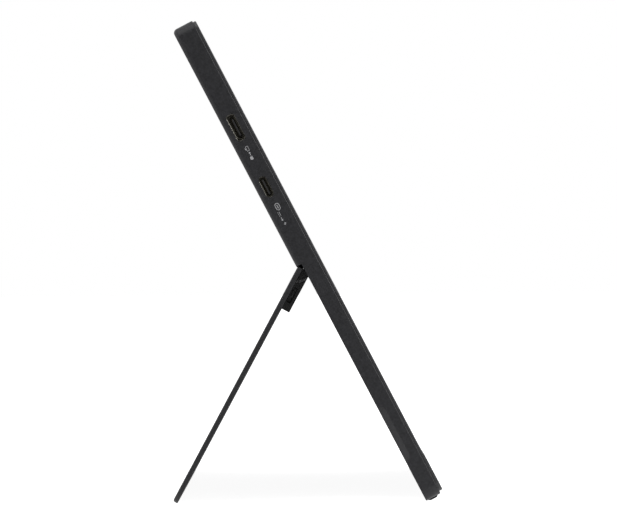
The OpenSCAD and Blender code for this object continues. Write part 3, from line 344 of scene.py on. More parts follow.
# nickel on the sockets' rims: warm grey, its colour painted dark as the shade inside the sockets, drawn along the
# rim, bright only at its broken edge
nickelSheet = brushedMetal("nickelSheetPaintedShade", {
    "dark": "#3b3933", "light": "#4c4a43", "lineGap": 0.4, "lineLength": 5, "stainSize": 3,
    "roughness": 0.36})
# blackened spring steel of the sliding arcs, ground along the turn and lightly oiled
blackHingeSteel = brushedMetal("blackenedHingeSteel", {
    "dark": "#1d1d1f", "light": "#333336", "lineGap": 0.25, "lineLength": 8, "stainSize": 5,
    "roughness": 0.33})
# rolled aluminium of the chassis, tray and shield: light grey with long rolling marks
rolledAluminium = brushedMetal("rolledAluminiumSheet", {
    "dark": "#a9abae", "light": "#c9cbcd", "lineGap": 0.4, "lineLength": 30, "stainSize": 22,
    "roughness": 0.4})
# zinc-nickel screws, blackened: near black, with a metal's gleam on the edges
blackScrew = brushedMetal("blackenedScrewSteel", {
    "dark": "#28282a", "light": "#3c3c3f", "along": "z", "lineGap": 0.15, "lineLength": 1, "stainSize": 1.5,
    "roughness": 0.4})
# turned brass of the threaded inserts: yellow, with close turning marks
turnedBrass = brushedMetal("turnedBrass", {
    "dark": "#9a7a3a", "light": "#c6a257", "lineGap": 0.2, "lineLength": 2, "stainSize": 3,
    "roughness": 0.3})
# gold-flashed contacts inside the sockets: dull gold, its colour painted darker as the shade of their recess
goldContact = brushedMetal("goldFlashedContact", {
    "dark": "#6e5526", "light": "#8f7338", "lineGap": 0.1, "lineLength": 1, "stainSize": 1,
    "roughness": 0.3})
# nickel-plated magnets: bright and slightly grey
platedMagnet = brushedMetal("nickelPlatedMagnet", {
    "dark": "#a5a6a8", "light": "#c8c9cb", "lineGap": 0.5, "lineLength": 1, "stainSize": 4,
    "roughness": 0.22})

greenBoard = solderMask("greenSolderMask")
etchedGlass = antiGlareGlass("etchedPolariserGlass")
# black matrix round the picture, under the glass: deeper and duller than the film beside it
blackMatrix = mouldedPlastic("blackMatrixInk", {
    "dark": "#060607", "light": "#0a0a0b", "cloudSize": 6, "grainSize": 0.6, "grainDepth": 0.005,
    "bump": 0.1, "roughness": 0.5, "sheen": 0.2})
# woven polyester behind the speaker slots: black thread with a little shine
gauzeThread = mouldedPlastic("wovenPolyesterGauze", {
    "dark": "#101011", "light": "#1c1c1e", "cloudSize": 1.5, "grainSize": 0.3, "grainDepth": 0.01,
    "roughness": 0.5, "sheen": 0.4})
# acrylic and polyester sheets behind the cell: milky, part clear
opticalSheet = thinSheet("opticalSheet", {
    "dark": "#e2e6e8", "light": "#f2f4f4", "roughness": 0.25, "clear": 0.3, "ior": 1.49})
# polyimide film with copper inside: amber to brown
flatCable = thinSheet("polyimideFlatCable", {
    "dark": "#8a5c22", "light": "#b98035", "roughness": 0.35, "clear": 0.0, "ior": 1.7})
# brushed nickel of the funnels round the sockets: pale and warm, its lines up the side
paleNickel = brushedMetal("brushedNickelTrim", {
    "dark": "#7e7c76", "light": "#8c8a83", "along": "y", "lineGap": 0.8, "lineLength": 12, "stainSize": 9,
    "roughness": 0.4})

finishes = (
    (etchedShell, "rear_cover"), (satinBezel, "front_bezel front_chin"), (etchedFlap, "stand_plate"),
    (satinKey, "power_button menu_rocker"), (filledNylon, "hinge_housing_left hinge_housing_right"),
    (blackMatrix, "cell_glass"), (opticalSheet, "diffuser_film light_guide reflector_film"),
    (rolledAluminium, "panel_tray chassis_plate board_shield"),
    (innerAbs, "panel_mid_frame button_bracket speaker_left speaker_right audio_jack"),
    (lampStrip, "light_strip"), (greenBoard, "driver_board main_board button_board"),
    (nickelSheet, "video_socket_shell oval_socket_shell side_switches"),
    (socketNylon, "video_socket_tongue oval_socket_tongue"), (flatCable, "panel_cable button_cable"),
    (wireSheath, "speaker_wires"), (mattRubber, "foot_strips stand_tip"),
    (blackHingeSteel, "hinge_base_left hinge_base_right hinge_tongue_left hinge_tongue_right"),
    (blackScrew, "hinge_screws cover_screws board_screws tongue_screws"), (turnedBrass, "mount_inserts"),
    (platedMagnet, "body_magnets stand_magnets"),
)
for finish, nodeNames in finishes:
    for nodeName in nodeNames.split():
        cadMesh = nodes[nodeName].data
        cadMesh.materials.clear()
        cadMesh.materials.append(finish)
print("materials:", len(bpy.data.materials))


# a copy of a CAD node whose hard edges are broken as a mould or a deburring wheel breaks them; width in mm,
# angle: degrees from which an edge is hard, inset: room in mm for ink on the copy's two sides
def roundedCopy(nodeName, pieceName, material, slot, body, width, angle, inset):
    mesh = nodes[nodeName].data.copy()
    mesh.name = pieceName
    work = bmesh.new()
    work.from_mesh(mesh)
    bmesh.ops.remove_doubles(work, verts=work.verts, dist=weldGap)
    bmesh.ops.dissolve_limit(work, angle_limit=math.radians(flatWithin), verts=work.verts, edges=work.edges)
    for face in work.faces:
        face.smooth = True
    work.to_mesh(mesh)
    work.free()
    mesh.set_sharp_from_angle(angle=math.radians(angle))
    draft = newObject(pieceName + "Draft", mesh)
    bevel = draft.modifiers.new("brokenEdges", "BEVEL")
    bevel.width = width * mm
    bevel.segments = 2
    bevel.limit_method = "ANGLE"
    bevel.angle_limit = math.radians(angle)
    bevel.use_clamp_overlap = False
    bevel.harden_normals = True
    # broad faces stay flat to the light, and the narrow ones beside them take up the turn
    weighted = draft.modifiers.new("flatBroadFaces", "WEIGHTED_NORMAL")
    weighted.mode = "FACE_AREA"
    weighted.weight = broadWeight
    weighted.keep_sharp = True
    finished = settledMesh(draft, pieceName)
    # a bevel runs past short edges, so the mesh is held to the node's own box
    space = toStand if body == "stand" else toDisplay
    low, high = boxIn(nodeName, space)
    back = space.inverted()
    for vert in finished.vertices:
        at = back @ vert.co
        at.x = min(max(at.x, low.x + inset), high.x - inset)
        at.y = min(max(at.y, low.y), high.y)
        at.z = min(max(at.z, low.z), high.z)
        vert.co = space @ at
    piece = newPiece(pieceName, finished, body, material)
    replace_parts(piece, nodeName)


flatWithin = 0.6  # degrees between faces that are one flat face
broadWeight = 90  # of 100: how far the broadest face beside an edge sets its shading
inkHeight = 0.012  # of the printed signs on the cover's side, in mm
hardFrom = {"usual": 35, "housing": 20}  # degrees; the housings' round noses meet their ends at a low angle
rounded = {  # for each node its piece's name, finish, slot, body and the radius of its broken edges in mm
    "rear_cover": ("coverShell", etchedShell, "cover_black", "display", 0.15),
    "front_bezel": ("screenBezel", satinBezel, "cover_black", "display", 0.12),
    "front_chin": ("chinStrip", satinBezel, "cover_black", "display", 0.12),
    "stand_plate": ("flapPlate", etchedFlap, "cover_black", "stand", 0.12),
    "hinge_housing_left": ("hingeHousingLeft", filledNylon, "hinge_plastic", "stand", 0.14),
    "hinge_housing_right": ("hingeHousingRight", filledNylon, "hinge_plastic", "stand", 0.14),
    "foot_strips": ("footStrips", mattRubber, "foot_rubber", "display", 0.15),
    "stand_tip": ("flapTip", mattRubber, "foot_rubber", "stand", 0.1),
    "power_button": ("powerKey", satinKey, "key_black", "power_key", 0.15),
    "menu_rocker": ("menuKey", satinKey, "key_black", "menu_key", 0.15),
    "video_socket_shell": ("videoRim", nickelSheet, "socket_steel", "display", 0.08),
    "oval_socket_shell": ("ovalRim", nickelSheet, "socket_steel", "display", 0.08),
}
for nodeName, choices in rounded.items():
    kind = "housing" if nodeName.startswith("hinge_housing") else "usual"
    roundedCopy(nodeName, *choices, hardFrom[kind], inkHeight if nodeName == "rear_cover" else 0)
print("rounded pieces done")


# a tree with an input for each size of a piece; whole numbers are counts
def newTree(name, sizes):
    tree = bpy.data.node_groups.new(name, "GeometryNodeTree")
    tree.interface.new_socket("Geometry", in_out="OUTPUT", socket_type="NodeSocketGeometry")
    tree.interface.new_socket("Points", in_out="INPUT", socket_type="NodeSocketGeometry")
    for label, size in sizes.items():
        kind = "NodeSocketInt" if isinstance(size, int) else "NodeSocketFloat"
        tree.interface.new_socket(label, in_out="INPUT", socket_type=kind)
    tree.interface.new_socket("Finish", in_out="INPUT", socket_type="NodeSocketMaterial")
    return tree, addNode(tree, "NodeGroupInput").outputs


# the shape at each point, as real geometry with its finish
def endTree(tree, given, shape, smooth):
    spread = addNode(tree, "GeometryNodeInstanceOnPoints", inputs={
        "Points": given["Points"], "Instance": shape})
    real = addNode(tree, "GeometryNodeRealizeInstances", inputs={"Geometry": spread.outputs[0]})
    shaded = addNode(tree, "GeometryNodeSetShadeSmooth", inputs={
        "Geometry": real.outputs[0], "Shade Smooth": smooth})
    painted = addNode(tree, "GeometryNodeSetMaterial", inputs={
        "Geometry": shaded.outputs[0], "Material": given["Finish"]})
    addNode(tree, "NodeGroupOutput", inputs={"Geometry": painted.outputs[0]})
    return tree


# what the tree makes at the points, as one plain mesh with its place in it; points and sizes in mm
def growMesh(name, tree, points, sizes, finish, place):
    seed = bpy.data.meshes.new(name + "Points")
    seed.from_pydata(points, [], [])
    draft = newObject(name + "Draft", seed)
    grow = draft.modifiers.new("grow", "NODES")
    grow.node_group = tree
    given = dict(sizes, Finish=finish)
    for item in tree.interface.items_tree:
        if item.name in given:
            grow[item.identifier] = given[item.name]
    mesh = settledMesh(draft, name)
    mesh.transform(place)
    return mesh


# cross-recess screw: cone-edged head that looks towards -z, shank behind it
def makeScrewTree(sizes):
    tree, given = newTree("crossRecessScrew", sizes)
    sides = 32
    across = addNode(tree, "ShaderNodeMath", {"operation": "ADD"}, {
        0: given["Head Height"], 1: given["Edge"]})
    middle = addNode(tree, "ShaderNodeMath", {"operation": "MULTIPLY"}, {0: across.outputs[0], 1: 0.5})
    rest = addNode(tree, "ShaderNodeMath", {"operation": "SUBTRACT"}, {
        0: given["Head Height"], 1: given["Edge"]})
    drum = addNode(tree, "GeometryNodeMeshCylinder", inputs={
        "Vertices": sides, "Radius": given["Head Radius"], "Depth": rest.outputs[0]})
    topRadius = addNode(tree, "ShaderNodeMath", {"operation": "SUBTRACT"}, {
        0: given["Head Radius"], 1: given["Edge"]})
    crown = addNode(tree, "GeometryNodeMeshCone", inputs={
        "Vertices": sides, "Radius Top": topRadius.outputs[0], "Radius Bottom": given["Head Radius"],
        "Depth": given["Edge"]})
    shank = addNode(tree, "GeometryNodeMeshCylinder", inputs={
        "Vertices": sides, "Radius": given["Shank Radius"], "Depth": given["Length"]})
    half = addNode(tree, "ShaderNodeMath", {"operation": "MULTIPLY_ADD"}, {
        0: given["Length"], 1: 0.5, 2: given["Edge"]})
    body = addNode(tree, "GeometryNodeMeshBoolean", {"operation": "UNION", "solver": "EXACT"})
    for shape, height, turned in ((drum, middle.outputs[0], 0), (crown, given["Edge"], math.pi),
                                  (shank, half.outputs[0], 0)):
        at = addNode(tree, "ShaderNodeCombineXYZ", inputs={"Z": height})
        placed = addNode(tree, "GeometryNodeTransform", inputs={
            "Geometry": shape.outputs[0], "Translation": at.outputs[0], "Rotation": (turned, 0, 0)})
        tree.links.new(placed.outputs[0], body.inputs["Mesh 2"])
    twice = addNode(tree, "ShaderNodeMath", {"operation": "MULTIPLY"}, {0: given["Slot Depth"], 1: 2.0})
    cut = addNode(tree, "GeometryNodeMeshBoolean", {"operation": "DIFFERENCE", "solver": "EXACT"}, {
        "Mesh 1": body.outputs["Mesh"]})
    for size in ({"X": given["Slot Width"], "Y": given["Slot Length"]},
                 {"X": given["Slot Length"], "Y": given["Slot Width"]}):
        blade = addNode(tree, "ShaderNodeCombineXYZ", inputs=dict(size, Z=twice.outputs[0]))
        slot = addNode(tree, "GeometryNodeMeshCube", inputs={"Size": blade.outputs[0]})
        tree.links.new(slot.outputs[0], cut.inputs["Mesh 2"])
    return endTree(tree, given, cut.outputs["Mesh"], smooth=False)


# helical ridge inside a threaded insert
def makeThreadTree(sizes):
    tree, given = newTree("insertThread", sizes)
    coil = addNode(tree, "GeometryNodeCurveSpiral", inputs={
        "Resolution": 28, "Rotations": given["Turns"], "Start Radius": given["Bore"],
        "End Radius": given["Bore"], "Height": given["Height"]})
    ridge = addNode(tree, "GeometryNodeCurvePrimitiveCircle", {"mode": "RADIUS"}, {
        "Resolution": 3, "Radius": given["Ridge"]})
    thread = addNode(tree, "GeometryNodeCurveToMesh", inputs={
        "Curve": coil.outputs[0], "Profile Curve": ridge.outputs[0], "Fill Caps": True})
    return endTree(tree, given, thread.outputs[0], smooth=True)


# two rows of contact strips, one on each face of a socket's tongue
def makeContactTree(sizes):
    tree, given = newTree("contactRows", sizes)
    bar = addNode(tree, "ShaderNodeCombineXYZ", inputs={
        "X": given["Length"], "Y": given["Width"], "Z": given["Thickness"]})
    strip = addNode(tree, "GeometryNodeMeshCube", inputs={"Size": bar.outputs[0]})
    fewer = addNode(tree, "ShaderNodeMath", {"operation": "SUBTRACT"}, {0: given["Count"], 1: 1.0})
    span = addNode(tree, "ShaderNodeMath", {"operation": "MULTIPLY"}, {
        0: fewer.outputs[0], 1: given["Pitch"]})
    first = addNode(tree, "ShaderNodeMath", {"operation": "MULTIPLY"}, {0: span.outputs[0], 1: -0.5})
    step = addNode(tree, "ShaderNodeCombineXYZ", inputs={"Y": given["Pitch"]})
    both = addNode(tree, "GeometryNodeJoinGeometry")
    for side in (-0.5, 0.5):
        level = addNode(tree, "ShaderNodeMath", {"operation": "MULTIPLY"}, {0: given["Gap"], 1: side})
        start = addNode(tree, "ShaderNodeCombineXYZ", inputs={"Y": first.outputs[0], "Z": level.outputs[0]})
        line = addNode(tree, "GeometryNodeMeshLine", {"mode": "OFFSET"}, {
            "Count": given["Count"], "Start Location": start.outputs[0], "Offset": step.outputs[0]})
        row = addNode(tree, "GeometryNodeInstanceOnPoints", inputs={
            "Points": line.outputs[0], "Instance": strip.outputs[0]})
        real = addNode(tree, "GeometryNodeRealizeInstances", inputs={"Geometry": row.outputs[0]})
        tree.links.new(real.outputs[0], both.inputs[0])
    return endTree(tree, given, both.outputs[0], smooth=False)


# square-woven gauze in the x-y plane
def makeGauzeTree(sizes):
    tree, given = newTree("gauze", sizes)
    sheet = addNode(tree, "GeometryNodeMeshGrid", inputs={
        "Size X": given["Width"], "Size Y": given["Height"], "Vertices X": given["Across"],
        "Vertices Y": given["Up"]})
    lines = addNode(tree, "GeometryNodeMeshToCurve", inputs={"Mesh": sheet.outputs[0]})
    ring = addNode(tree, "GeometryNodeCurvePrimitiveCircle", {"mode": "RADIUS"}, {
        "Resolution": 4, "Radius": given["Thread"]})
    cloth = addNode(tree, "GeometryNodeCurveToMesh", inputs={
        "Curve": lines.outputs[0], "Profile Curve": ring.outputs[0], "Fill Caps": True})
    return endTree(tree, given, cloth.outputs[0], smooth=True)


# mesh of a finished bmesh, with its place in it; sharpFrom: degrees from which an edge stays hard
def endMesh(work, name, place, sharpFrom=None):
    bmesh.ops.recalc_face_normals(work, faces=work.faces)
    mesh = bpy.data.meshes.new(name)
    work.to_mesh(mesh)
    work.free()
    mesh.transform(place)
    if sharpFrom:
        mesh.set_sharp_from_angle(angle=math.radians(sharpFrom))
    return mesh


# wall of faces between two closed rings, of which the first few are shaded smooth
def joinRings(work, here, following, smooth=0):
    for n in range(len(here)):
        m = (n + 1) % len(here)
        work.faces.new((here[n], here[m], following[m], following[n])).smooth = n < smooth


# solid drawn out along x from its outline of (up, depth) points measured from the pivot line, in mm
def rodMesh(name, outline, spans, place):
    work = bmesh.new()
    for span in spans:
        near, far = ([work.verts.new((x, pivot["up"] + u, pivot["depth"] + d)) for u, d in outline]
                     for x in span)
        work.faces.new(near)
        work.faces.new(far)
        joinRings(work, near, far)
    return endMesh(work, name, place)


# small parts that close the daylight round the open flap, in mm from the pivot line, toeTurn in degrees
hingeTrim = {
    "toeIn": 0.49, "toeOut": 0.82, "toeTurn": 105, "toeSteps": 10, "cheek": 1.3, "clear": 0.04,
    "seal": (0.53, 0.93, -0.4, 0.5), "sealReach": 178.2, "felt": (-2.1, -1.05, 1.79, 2.06), "feltReach": 92.0,
    "broken": 0.06,
}
low, high = boxIn("hinge_base_right", toDisplay)
cheek, clear = hingeTrim["cheek"], hingeTrim["clear"]
cheekSpans = []
for side in (-1, 1):
    for x in (low.x, high.x - cheek):
        cheekSpans.append(sorted((side * (x + clear), side * (x + cheek - clear))))
toe = []
for radius, order in ((hingeTrim["toeIn"], 1), (hingeTrim["toeOut"], -1)):
    for k in range(hingeTrim["toeSteps"] + 1)[::order]:
        angle = math.radians(hingeTrim["toeTurn"] * k / hingeTrim["toeSteps"])
        toe.append((radius * math.cos(angle), radius * math.sin(angle)))
newPiece("lugToes", rodMesh("lugToes", toe, cheekSpans, toDisplay), "display", blackHingeSteel)
for pieceName, key, finish in (("hingeSeal", "seal", innerAbs), ("recessFelt", "felt", mattRubber)):
    u0, u1, d0, d1 = hingeTrim[key]
    reach, cut = hingeTrim[key + "Reach"], hingeTrim["broken"]
    outline = [(u0 + cut, d0), (u1, d0), (u1, d1), (u0 + cut, d1), (u0, d1 - cut), (u0, d0 + cut)]
    stripMesh = rodMesh(pieceName, outline, [(-reach, reach)], toDisplay)
    newPiece(pieceName, stripMesh, "display", finish)

# bevelled strip in each housing's groove, coloured pale as a painted highlight of the lit bevel, from (in from the
# end face, distance from the pivot line) points
arcStrip = {"outline": ((0.04, 6.21), (0.5, 5.44), (0.58, 5.44), (0.58, 5.58)), "clear": 0.1, "steps": 10}


def arcStripMesh():
    work = bmesh.new()
    for side, nodeName in ((-1, "hinge_housing_left"), (1, "hinge_housing_right")):
        low, high = boxIn(nodeName, toStand)
        endFace = low.x if side < 0 else high.x
        near = low.z - pivot["depth"] + arcStrip["clear"]
        far = high.z - pivot["depth"] - arcStrip["clear"]
        rings = []
        for k in range(arcStrip["steps"] + 1):
            d = near + (far - near) * k / arcStrip["steps"]
            rings.append([work.verts.new((
                endFace - side * inward, pivot["up"] - math.sqrt(radius ** 2 - d * d), pivot["depth"] + d))
                for inward, radius in arcStrip["outline"]])
        for here, following in zip(rings, rings[1:]):
            joinRings(work, here, following, smooth=1)
        work.faces.new(rings[0])
        work.faces.new(rings[-1])
    return endMesh(work, "arcHighlightStrips", toStand, sharpFrom=30)


newPiece("arcHighlightStrips", arcStripMesh(), "stand", paleHighlightAcetal)
print("hinge trim done")


coverScrews = {
    "Head Radius": 1.8, "Head Height": 1.0, "Edge": 0.22, "Shank Radius": 1.0, "Length": 4.0,
    "Slot Width": 0.42, "Slot Length": 1.9, "Slot Depth": 0.5,
}
screwSpots = [((low.x + high.x) / 2, (low.y + high.y) / 2, low.z)
              for low, high in solidBoxes("cover_screws", toDisplay)]
screwTree = makeScrewTree(coverScrews)
screwMesh = growMesh("coverScrews", screwTree, screwSpots, coverScrews, blackScrew, toDisplay)
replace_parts(newPiece("coverScrews", screwMesh, "display", blackScrew), "cover_screws")
print("cover screws:", len(screwSpots))

insertThreads = {"Bore": 1.98, "Height": 4.6, "Turns": 6.5, "Ridge": 0.3}
threadSetIn = 0.35  # mm from the insert's mouth
insertSpots = [((low.x + high.x) / 2, (low.y + high.y) / 2, low.z + threadSetIn)
               for low, high in solidBoxes("mount_inserts", toDisplay)]
threadTree = makeThreadTree(insertThreads)
threadMesh = growMesh("insertThreads", threadTree, insertSpots, insertThreads, turnedBrass, toDisplay)
newPiece("insertThreads", threadMesh, "display", turnedBrass)
print("threaded inserts:", len(insertSpots))

contacts = {  # contact strips on each face of the tongues, in mm
    "setBack": 1.0,
    "video": {"Count": 10, "Pitch": 0.72, "Length": 4.6, "Width": 0.34, "Thickness": 0.06},
    "oval": {"Count": 12, "Pitch": 0.52, "Length": 4.6, "Width": 0.27, "Thickness": 0.08},
}
for socketName in ("video", "oval"):
    sizes = contacts[socketName]
    low, high = boxIn(socketName + "_socket_tongue", toDisplay)
    middle = (low.x + sizes["Length"] / 2 + contacts["setBack"], (low.y + high.y) / 2, (low.z + high.z) / 2)
    rows = dict(sizes, Gap=high.z - low.z)
    pieceName = socketName + "Contacts"
    contactMesh = growMesh(pieceName, makeContactTree(rows), [middle], rows, goldContact, toDisplay)
    newPiece(pieceName, contactMesh, "display", goldContact)
print("contacts done")

gauze = {"Width": 45.0, "Height": 2.2, "Across": 113, "Up": 6, "Thread": 0.07}
gauzeAt = {"x": 43.0, "wall": 1.3, "depth": 5.2}
toWall = (toDisplay @ Matrix.Translation((0, gauzeAt["wall"], gauzeAt["depth"]))
          @ Matrix.Rotation(math.pi / 2, 4, "X"))
gauzeSpots = [(-gauzeAt["x"], 0, 0), (gauzeAt["x"], 0, 0)]
gauzeMesh = growMesh("speakerGauze", makeGauzeTree(gauze), gauzeSpots, gauze, gauzeThread, toWall)
newPiece("speakerGauze", gauzeMesh, "display", gauzeThread)
print("gauze done")


# flat printed shapes: each outline is a list of (across, along) points, raised by the ink's thickness
def printedMesh(name, outlines, thickness, place):
    work = bmesh.new()
    for outline in outlines:
        face = work.faces.new([work.verts.new((a, b, 0)) for a, b in outline])
        face.normal_update()
        if face.normal.z > 0:
            face.normal_flip()
        raised = bmesh.ops.extrude_face_region(work, geom=[face])
        top = [item for item in raised["geom"] if isinstance(item, bmesh.types.BMVert)]
        bmesh.ops.translate(work, vec=(0, 0, thickness), verts=top)
    mesh = endMesh(work, name, place)
    if place.determinant() < 0:
        mesh.flip_normals()
    return mesh


def bar(x0, y0, x1, y1):
    return [(x0, y0), (x1, y0), (x1, y1), (x0, y1)]


# the four sides of a box
def boxSides(x0, y0, x1, y1, line):
    return [bar(x0, y1 - line, x1, y1), bar(x0, y0, x1, y0 + line),
            bar(x0, y0 + line, x0 + line, y1 - line), bar(x1 - line, y0 + line, x1, y1 - line)]


# a band between two stadium outlines of the same middle, as quads; gap: its opening at the top
def band(w, h, line, gap=0, steps=7):
    outer, inner = [], []
    for quarter, side in enumerate((1, -1, -1, 1)):
        for k in range(steps + 1):
            angle = math.pi / 2 * (quarter + k / steps)
            for ring, radius in ((outer, h / 2), (inner, h / 2 - line)):
                ring.append((side * (w - h) / 2 + radius * math.cos(angle), radius * math.sin(angle)))
    quads = [[outer[k - 1], outer[k], inner[k], inner[k - 1]] for k in range(len(outer))]
    return [q for q in quads if math.dist(q[0], q[1]) > tiny
            and not (q[0][1] > 0 and abs(q[0][0] + q[1][0]) < gap)]


tiny = 0.001  # mm, a side of no length
line = 0.17  # mm, the signs' thin strokes
marks = {  # generic signs beside the sockets: height and depth of each on the side, then its shapes, in mm
    "screenSign": (164.4, 4.7, [  # a screen on its foot, an arrowhead and a socket
        *boxSides(-3.1, -0.35, -0.9, 0.75, line),
        bar(-2.12, -0.58, -1.88, -0.35), bar(-2.6, -0.75, -1.4, -0.58),
        [(-0.5, 0.2), (0.25, -0.3), (0.25, 0.7)], bar(0.25, 0.08, 1.25, 0.32),
        [(1.6, -0.25), (1.95, -0.6), (2.75, -0.6), (3.1, -0.25), (3.1, 0.6), (1.6, 0.6)]]),
    "plugSign": (138.9, 4.8, [*band(3.2, 2.0, 0.26), bar(-0.8, -0.17, 0.8, 0.17)]),
    "currentSign": (134.6, 4.0, [  # a line over three dashes, and an arrow
        bar(-2.1, 0.2, -0.1, 0.2 + line), *(bar(x, -0.4, x + 0.5, -0.4 + line) for x in (-2.1, -1.35, -0.6)),
        bar(0.4, -0.12, 1.5, 0.12), [(1.4, -0.5), (2.1, 0), (1.4, 0.5)]]),
    "boltSign": (131.1, 4.3, [
        [(-0.75, 0.1), (0.15, 0.6), (0.0, 0.12), (0.75, -0.02), (-0.2, -0.6), (-0.02, -0.1)]]),
}
sideFace = boxIn("rear_cover", toDisplay)[0].x
for signName, (up, depth, outlines) in marks.items():
    # sign's own axes: along it down the side, then towards the screen, then out of the side
    signAxes = Matrix(((0, 0, -1, sideFace + inkHeight), (-1, 0, 0, up), (0, 1, 0, depth), (0, 0, 0, 1)))
    signMesh = printedMesh(signName, outlines, inkHeight, toDisplay @ signAxes)
    newPiece(signName, signMesh, "display", padPrint)
print("signs:", len(marks))

keyInk = 0.01  # mm
keyFace = boxIn("power_button", toDisplay)[1].x
keySigns = {
    "power_button": ("powerKeySign", "power_key", [*band(1.5, 1.5, 0.2, gap=0.9), bar(-0.1, 0, 0.1, 0.8)]),
    "menu_rocker": ("menuKeySigns", "menu_key", [
        bar(-6.3, -0.1, -5.1, 0.1), bar(5.1, -0.1, 6.3, 0.1),
        bar(5.6, 0.1, 5.8, 0.6), bar(5.6, -0.6, 5.8, -0.1)]),
}
for nodeName, (pieceName, body, outlines) in keySigns.items():
    low, high = boxIn(nodeName, toDisplay)
    keyAxes = Matrix((
        (0, 0, 1, keyFace), (1, 0, 0, (low.y + high.y) / 2), (0, 1, 0, (low.z + high.z) / 2), (0, 0, 0, 1)))
    signMesh = printedMesh(pieceName, outlines, keyInk, toDisplay @ keyAxes)
    newPiece(pieceName, signMesh, body, padPrint)
print("key signs done")


# a ring turned round the x axis from its outline of (x, radius) points
def turnedMesh(name, outline, steps, place):
    work = bmesh.new()
    rings = []
    for k in range(steps):
        angle = 2 * math.pi * k / steps
        rings.append([work.verts.new((x, r * math.cos(angle), r * math.sin(angle))) for x, r in outline])
    for here, following in zip(rings, rings[1:] + rings[:1]):
        joinRings(work, here, following, smooth=len(outline))
    return endMesh(work, name, place, sharpFrom=30)


# a funnel between two stadium outlines, open at both ends, its wall closed into a thin ring
def funnelMesh(name, look, place):
    work = bmesh.new()
    rings = []
    for w, h, x in ((look["outerW"], look["outerH"], 0), (look["innerW"], look["innerH"], look["depth"]),
                    (look["outerW"], look["outerH"], look["depth"])):
        radius = min(look["corner"], h / 2) - (look["outerH"] - h) / 2
        ring = []
        for cy, cz, quarter in ((1, 1, 0), (-1, 1, 1), (-1, -1, 2), (1, -1, 3)):
            for k in range(look["steps"] + 1):
                angle = math.pi / 2 * (quarter + k / look["steps"])
                ring.append(work.verts.new((
                    x, cy * (w / 2 - radius) + radius * math.cos(angle),
                    cz * (h / 2 - radius) + radius * math.sin(angle))))
        rings.append(ring)
    for a, b in ((0, 1), (1, 2), (2, 0)):
        joinRings(work, rings[a], rings[b], smooth=len(rings[a]))
    bmesh.ops.remove_doubles(work, verts=work.verts, dist=tiny / 10)
    return endMesh(work, name, place, sharpFrom=30)


funnels = {  # trim round each socket, in mm; centre: its depth in the side
    "video": {"outerW": 11.98, "outerH": 3.78, "innerW": 11.3, "innerH": 3.1, "corner": 1.3, "depth": 0.45,
              "steps": 8, "centre": 4.7},
    "oval": {"outerW": 9.48, "outerH": 3.48, "innerW": 9.02, "innerH": 3.02, "corner": 1.7, "depth": 0.33,
             "steps": 10, "centre": 4.4},
}
funnelSetIn = 0.02  # mm in from the side face
for socketName, look in funnels.items():
    low, high = boxIn(socketName + "_socket_tongue", toDisplay)
    seat = toDisplay @ Matrix.Translation((sideFace + funnelSetIn, (low.y + high.y) / 2, look["centre"]))
    pieceName = socketName + "Funnel"
    newPiece(pieceName, funnelMesh(pieceName, look, seat), "display", paleNickel)
print("socket funnels done")

jackRing = {"bore": 1.72, "outer": 2.22, "inward": 2.4, "lip": 0.12, "edge": 0.06, "centre": 4.2, "steps": 48}
low, high = boxIn("audio_jack", toDisplay)
mouth = Matrix.Translation((high.x, (low.y + high.y) / 2, jackRing["centre"]))
bore, outer, lip, edge = (jackRing[key] for key in ("bore", "outer", "lip", "edge"))
outline = [
    (-jackRing["inward"], bore + edge), (-jackRing["inward"], bore), (lip - edge, bore), (lip, bore + edge),
    (lip, outer - edge), (lip - edge, outer), (0, outer), (0, bore + edge),
]
ringMesh = turnedMesh("jackRing", outline, jackRing["steps"], toDisplay @ mouth)
newPiece("jackRing", ringMesh, "display", nickelSheet)
print("jack ring done")

polariser = {"grow": 0.3, "corner": 1.2, "thickness": 0.08, "edge": 0.03, "cornerSteps": 6}
picture = {"half": 172.08, "low": 24.21, "high": 217.8}
low, high = boxIn("cell_glass", toDisplay)
inset = polariser["corner"] - polariser["grow"]
outline = []
for side, y, quarter in ((1, picture["high"] - inset, 0), (-1, picture["high"] - inset, 1),
                         (-1, picture["low"] + inset, 2), (1, picture["low"] + inset, 3)):
    for k in range(polariser["cornerSteps"] + 1):
        angle = math.pi / 2 * (quarter + k / polariser["cornerSteps"])
        outline.append((side * (picture["half"] - inset) + polariser["corner"] * math.cos(angle),
                        y + polariser["corner"] * math.sin(angle)))
filmMesh = printedMesh("polariserFilm", [outline], polariser["thickness"], Matrix.Translation((0, 0, high.z)))
work = bmesh.new()
work.from_mesh(filmMesh)
rim = [edge for edge in work.edges if all(v.co.z > high.z + polariser["thickness"] / 2 for v in edge.verts)]
bmesh.ops.bevel(work, geom=rim, offset=polariser["edge"], segments=2, affect="EDGES")
work.to_mesh(filmMesh)
work.free()
filmMesh.transform(toDisplay)
newPiece("polariserFilm", filmMesh, "display", etchedGlass)
print("polariser done")


view = {
    "imageWidth": 617, "lens": 300, "sensor": 36, "clipNear": 0.1, "clipFar": 100,
    "pixelsPerMm": 2.3777,  # of the display's left side in the photograph
    "aim": (-1.163, 100.02),  # y and z that the picture's middle shows, in mm
    "roll": 0.558,  # degrees that the picture leans to the left
}


def makeCamera():
    camera = newObject("camera", bpy.data.cameras.new("camera"))
    camera.data.lens = view["lens"]
    camera.data.sensor_width = view["sensor"]
    distance = view["imageWidth"] * view["lens"] / view["sensor"] / view["pixelsPerMm"]
    roll = math.radians(view["roll"])
    right = Vector((0, -math.cos(roll), -math.sin(roll)))
    up = Vector((0, -math.sin(roll), math.cos(roll)))
    back = Vector((-1, 0, 0))
    place = Matrix((right, up, back)).transposed().to_4x4()
    place.translation = (cadBox[0].x - distance * mm, view["aim"][0] * mm, view["aim"][1] * mm)
    camera.matrix_world = place
    camera.data.clip_start = view["clipNear"]
    camera.data.clip_end = view["clipFar"]
    bpy.context.scene.camera = camera


